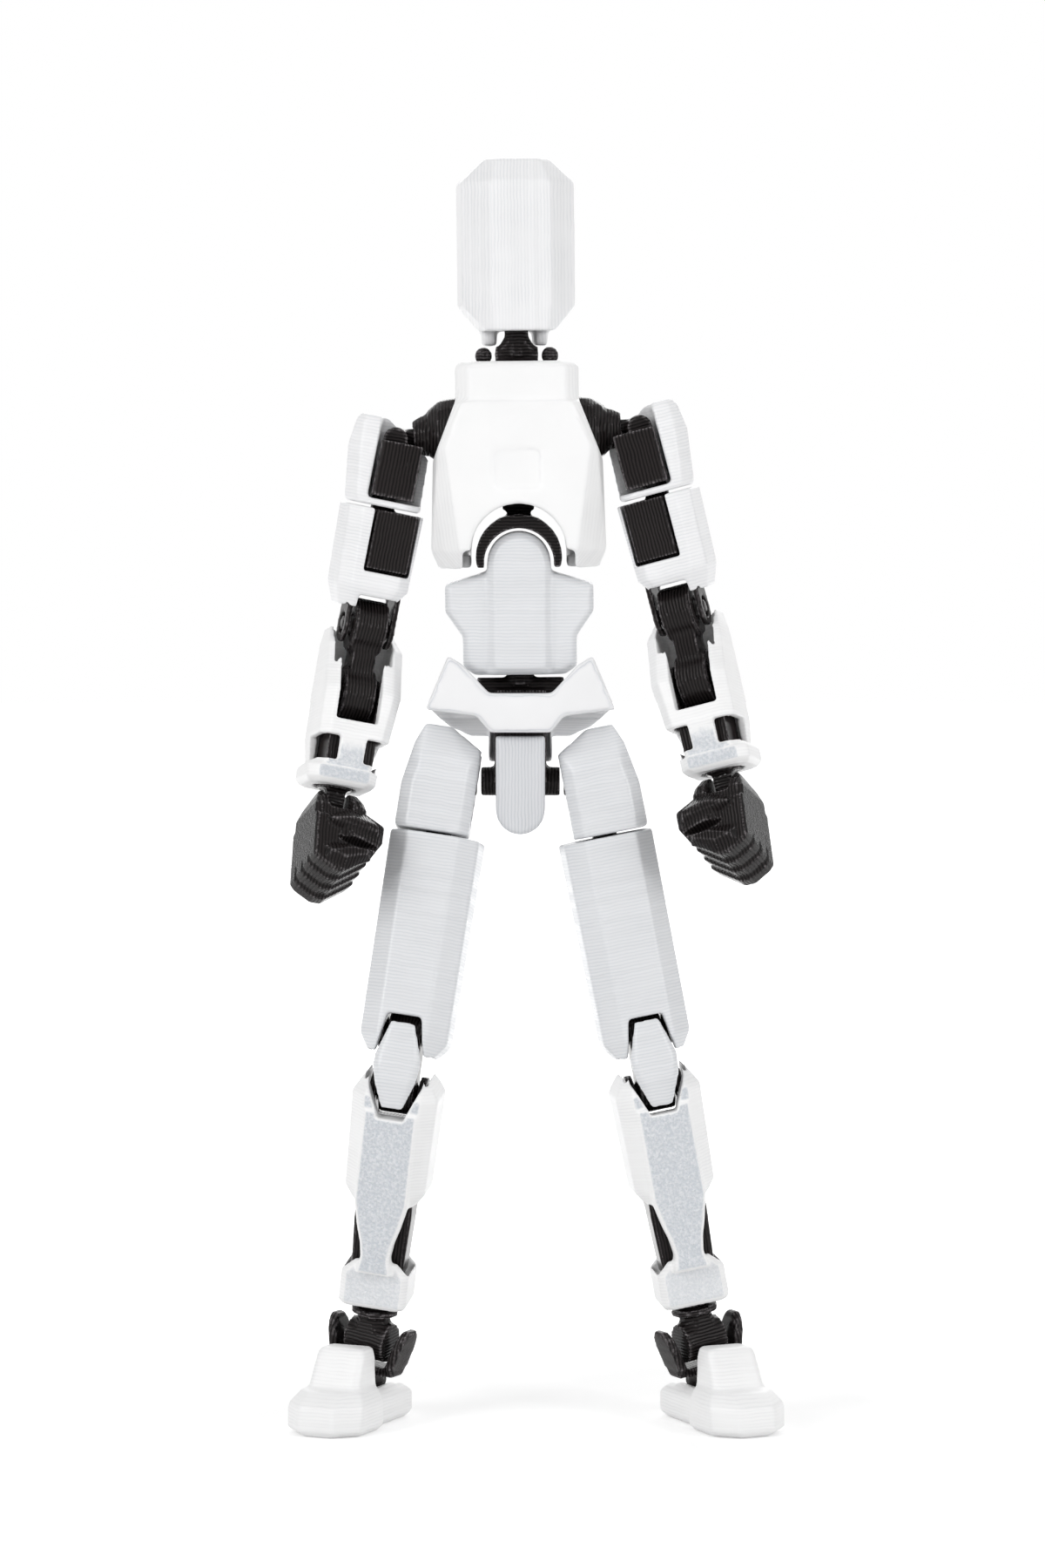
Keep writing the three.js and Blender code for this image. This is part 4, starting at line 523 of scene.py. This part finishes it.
# %% Settle a piece, and find the side that lay on the bed
def settle(piece, node, looks, stacked):
    lay_on_bed(piece, stacked)
    piece.data.materials.clear()
    for look in looks:
        piece.data.materials.append(look)
    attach(piece, body_of[node])
    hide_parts(node)
    print(piece.name, "has", len(piece.data.polygons), "faces and rides on", body_of[node])
    return piece


def lay_face_on_bed(piece, facing, sharpness, middle, beyond, along=None, below=0.0):
    """Gives the second plastic to the side that looks in a direction and lies beyond a point.

    Beyond is in millimetres. Where along is given, it is only what lies lower than below millimetres over
    that point. Sharpness is the cosine at which the side begins.
    """
    square_on, fade_in, fade_down = 0.995, 0.3, 0.8
    shares = []
    for vertex in piece.data.vertices:
        off = vertex.co - middle
        turned = (vertex.normal.dot(facing) - sharpness) / (square_on - sharpness)
        near = (off.dot(facing) / mm - beyond) / fade_in
        low = 1 if along is None else (below - off.dot(along) / mm) / fade_down
        shares.append(min(max(min(turned, near, low), 0), 1))
    add_attribute(piece.data, "print_bed", "FLOAT", "value", shares)
    for face in piece.data.polygons:
        if max(shares[i] for i in face.vertices) > 0:
            face.material_index = 1
    speckled = sum(face.material_index for face in piece.data.polygons)
    print(piece.name, "lay on the bed with", speckled, "faces")


# %% [markdown]
# ## The trunk
# Chest, abdomen and pelvis are white shells over black cores. The shells were printed lying on their backs,
# so their layers follow the slopes like contour lines, but the abdomen's lines run across it and the head's
# run up its face.

# %% Trunk, neck and head
# the usual side of a skin's squares, and how far a black frame is sunk, in millimetres
even = 0.22
hair = 0.06
# solid, piece, squares, rounds, plastic, and the direction in which its layers stack
trunk = [
    ("pelvis_front", "PelvisFront", even, 12, white_contour, forward),
    ("pelvis_back", "PelvisBack", 0.14, 20, white_pla, forward),
    ("pelvis_core", "PelvisCore", even, 4, black_pla, across),
    ("groin_plate", "GroinPlate", even, 8, white_dense_shaded, across),
    ("waist_bar", "WaistBar", even, 3, black_pla, up),
    ("abdomen_shell", "AbdomenShell", even, 10, white_lined, up),
    ("abdomen_core", "AbdomenCore", even, 3, black_pla, up),
    ("diaphragm_socket", "DiaphragmSocket", even, 3, black_pla, up),
    ("chest_front", "ChestFront", even, 10, white_smooth, forward),
    ("chest_back", "ChestBack", even, 10, white_smooth, forward),
    ("chest_core", "ChestCore", even, 3, black_pla, up),
    ("neck_link", "NeckLink", even, 3, black_pla, up),
    ("head_shell", "HeadShell", even, 12, white_pla, rightward("neck_tilt")),
]
for node, name, grain, rounds, look, stacked in trunk:
    piece = softened_copy(node, name, grain, rounds, sunk=hair if look is black_pla else 0.0)
    settle(piece, node, [look], stacked)

# %% [markdown]
# ## The fists
# A fist is the figure's most modelled print: four curled fingers, each set a little lower than the one
# before, and a thumb that lies across the first. The solid has their places. Here the thumb gets its ridge,
# as a block whose front narrows to an edge, and a hollow is carved between thumb and fingertip, before the
# skin makes them one.

# %% A closed body round points
def hull(origin, sides, points):
    """The closed body stretched round points given in a limb's own directions, in millimetres."""
    corners = [origin + (sides[0] * x + sides[1] * y + sides[2] * z) * mm for x, y, z in points]
    mesh = bpy.data.meshes.new("Hull")
    mesh.from_pydata(corners, [], [])
    body = bpy.data.objects.new("Hull", mesh)
    bpy.context.scene.collection.objects.link(body)
    select_only(body)
    bpy.ops.object.mode_set(mode="EDIT")
    bpy.ops.mesh.select_all(action="SELECT")
    bpy.ops.mesh.convex_hull()
    bpy.ops.mesh.select_all(action="SELECT")
    bpy.ops.mesh.normals_make_consistent(inside=False)
    bpy.ops.object.mode_set(mode="OBJECT")
    return body


# %% Thumb, fingertip and the hollow between
def fist_forms(side, outward):
    """What is grown on and carved out of a fist.

    Points count outwards, backwards and upwards from the wrist.
    """
    wrist = pivot(side + "_wrist_bend")
    out = rightward(side + "_wrist_bend") * outward
    low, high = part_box(side + "_hand")
    drop = (Vector(low) + Vector(high)) / 2 - wrist
    along = -(drop - out * drop.dot(out)).normalized()
    behind = along.cross(out)
    behind = behind if behind.y > 0 else -behind
    sides = (out, behind, along)
    back, front = -3.4, -5.3
    thumb = hull(wrist, sides, [
        (2.2, back, -3.6), (-0.6, back, -1.8), (-2.1, back, -2.0), (-4.5, back, -3.8), (-4.4, back, -6.0),
        (-2.6, back, -5.9), (0.6, back, -4.9), (1.5, front + 0.5, -3.9), (-0.8, front, -3.6),
        (-3.7, front, -4.2), (-3.8, front, -4.9)])
    fingertip = hull(wrist, sides, [
        (-0.8, back, -6.2), (-3.6, back, -6.6), (-3.7, back, -7.7), (-0.5, back, -9.3), (1.9, back, -8.6),
        (2.4, back, -6.4), (-1.2, front + 0.3, -7.0), (-3.0, front + 0.3, -7.1),
        (-2.9, front + 0.4, -7.5), (-0.4, front + 0.4, -8.3), (1.2, front + 0.5, -7.8)])
    hollow = hull(wrist, sides, [
        (0.4, -5.4, -5.0), (-2.4, -5.4, -6.0), (-4.6, -5.4, -6.2), (-4.6, -5.4, -6.8), (-1.2, -5.4, -6.8),
        (0.8, -5.4, -6.0), (0.2, -3.2, -5.5), (-4.6, -3.0, -6.4), (-1.4, -3.0, -6.4)])
    crease = hull(wrist, sides, [
        (2.1, -5, 0.2), (1.7, -5, 0.2), (2.1, -5, -7.4), (1.7, -5, -7.4), (1.9, -3.7, 0.2),
        (1.9, -3.7, -7.4)])
    return [thumb, fingertip], [hollow, crease]


# %% [markdown]
# ## The ankle's ears
# The two ears of the ankle's clevis stand round its barrel like two leaves, and lean out towards their tips.
# In the solid they are upright. Their points are moved sideways by how high they are over the root, and not
# at all in the middle, so the clevis stays in one piece.

# %% Lean the ears outwards
def flare_ears(piece, side):
    # inner, ramp and root are in millimetres from the pin, and lean is a slope
    inner, ramp, root, lean = 1.6, 0.8, -2.6, 0.26
    bend = rightward(side + "_ankle_bend")
    middle = pivot(side + "_ankle_bend")
    for vertex in piece.data.vertices:
        off = vertex.co - middle
        sideways = off.dot(bend) / mm
        height = (off - bend * off.dot(bend)).z / mm
        if abs(sideways) > inner:
            shift = lean * max(height - root, 0) * min((abs(sideways) - inner) / ramp, 1)
            vertex.co += bend * math.copysign(shift * mm, sideways)


# %% [markdown]
# ## Legs and arms
# Both sides are the same set of prints. Each limb's own directions come from its joints, so that the lines
# turn with the limb. The shins, the cuffs and the fists carry the bed's speckle on the side that lay on it.

# %% Limbs of both sides
for side, outward in (("left", 1), ("right", -1)):
    thigh_up, thigh_right = upward(side + "_thigh_twist"), rightward(side + "_knee_upper")
    shin_up, shin_right = upward(side + "_ankle_turn"), rightward(side + "_knee_lower")
    arm_up, arm_right = upward(side + "_arm_twist"), rightward(side + "_elbow_upper")
    fore_up, fore_right = upward(side + "_wrist_turn"), rightward(side + "_elbow_lower")
    hand_right = rightward(side + "_wrist_bend")
    limb = [
        ("hip_link", "HipLink", even, 3, [black_pla], across),
        ("hip_armour", "HipArmour", even, 14, [white_lined], thigh_up),
        ("thigh_frame", "ThighFrame", even, 3, [black_pla], thigh_right),
        ("thigh_armour", "ThighArmour", 0.16, 26, [white_lined], thigh_up),
        ("knee_link", "KneeLink", even, 3, [black_pla], thigh_right),
        ("kneecap", "Kneecap", even, 9, [white_lined], thigh_up),
        ("shin_frame", "ShinFrame", 0.15, 4, [black_pla], shin_right),
        ("shin_armour", "ShinArmour", 0.14, 13, [white_smooth, white_bed], shin_up),
        ("ankle_link", "AnkleLink", even, 4, [black_pla], shin_up),
        ("ankle_clevis", "AnkleClevis", even, 4, [black_pla], rightward(side + "_ankle_bend")),
        ("foot", "Foot", even, 9, [white_smooth], up),
        ("clavicle_link", "ClavicleLink", even, 4, [black_pla], across),
        ("shoulder_hinge", "ShoulderHinge", even, 3, [black_pla], arm_up),
        ("shoulder_frame", "ShoulderFrame", even, 5, [black_pla], arm_right),
        ("shoulder_armour", "ShoulderArmour", even, 9, [white_pla], arm_up),
        ("upper_arm_frame", "UpperArmFrame", 0.16, 6, [black_pla], arm_right),
        ("upper_arm_armour", "UpperArmArmour", 0.1, 40, [white_pla], arm_up),
        ("elbow_link", "ElbowLink", even, 9, [black_pla], fore_right),
        ("forearm_frame", "ForearmFrame", 0.14, 5, [black_pla], fore_right),
        ("forearm_shell", "ForearmShell", 0.12, 16, [white_smooth, white_bed], fore_up),
        ("wrist_link", "WristLink", even, 3, [black_pla], fore_up),
        ("hand", "Hand", 0.16, 2, [black_pla, black_bed], hand_right),
    ]
    made = {}
    for node, name, grain, rounds, looks, stacked in limb:
        grown, carved = fist_forms(side, outward) if node == "hand" else ((), ())
        # a fist has no shell over it, so it keeps its full size
        sunk = hair if looks[0] is black_pla and node != "hand" else 0.0
        piece = softened_copy(f"{side}_{node}", side.capitalize() + name, grain, rounds, sunk, grown, carved)
        if node == "ankle_clevis":
            flare_ears(piece, side)
        made[node] = settle(piece, f"{side}_{node}", looks, stacked)
    shin_front, fore_front = frontward(shin_right, shin_up), frontward(fore_right, fore_up)
    knee, wrist, fist = (pivot(side + name) for name in ("_knee_lower", "_wrist_turn", "_wrist_bend"))
    lay_face_on_bed(made["shin_armour"], shin_front, 0.93, knee, 3.3)
    lay_face_on_bed(made["forearm_shell"], fore_front, 0.9, wrist, 2.4, fore_up, 4.6)
    lay_face_on_bed(made["hand"], hand_right * outward, 0.8, fist, 1.0)

# %% [markdown]
# ## Finish
# Colours are rendered as written, with the Standard view.

# %% The colour view
bpy.context.scene.view_settings.view_transform = "Standard"
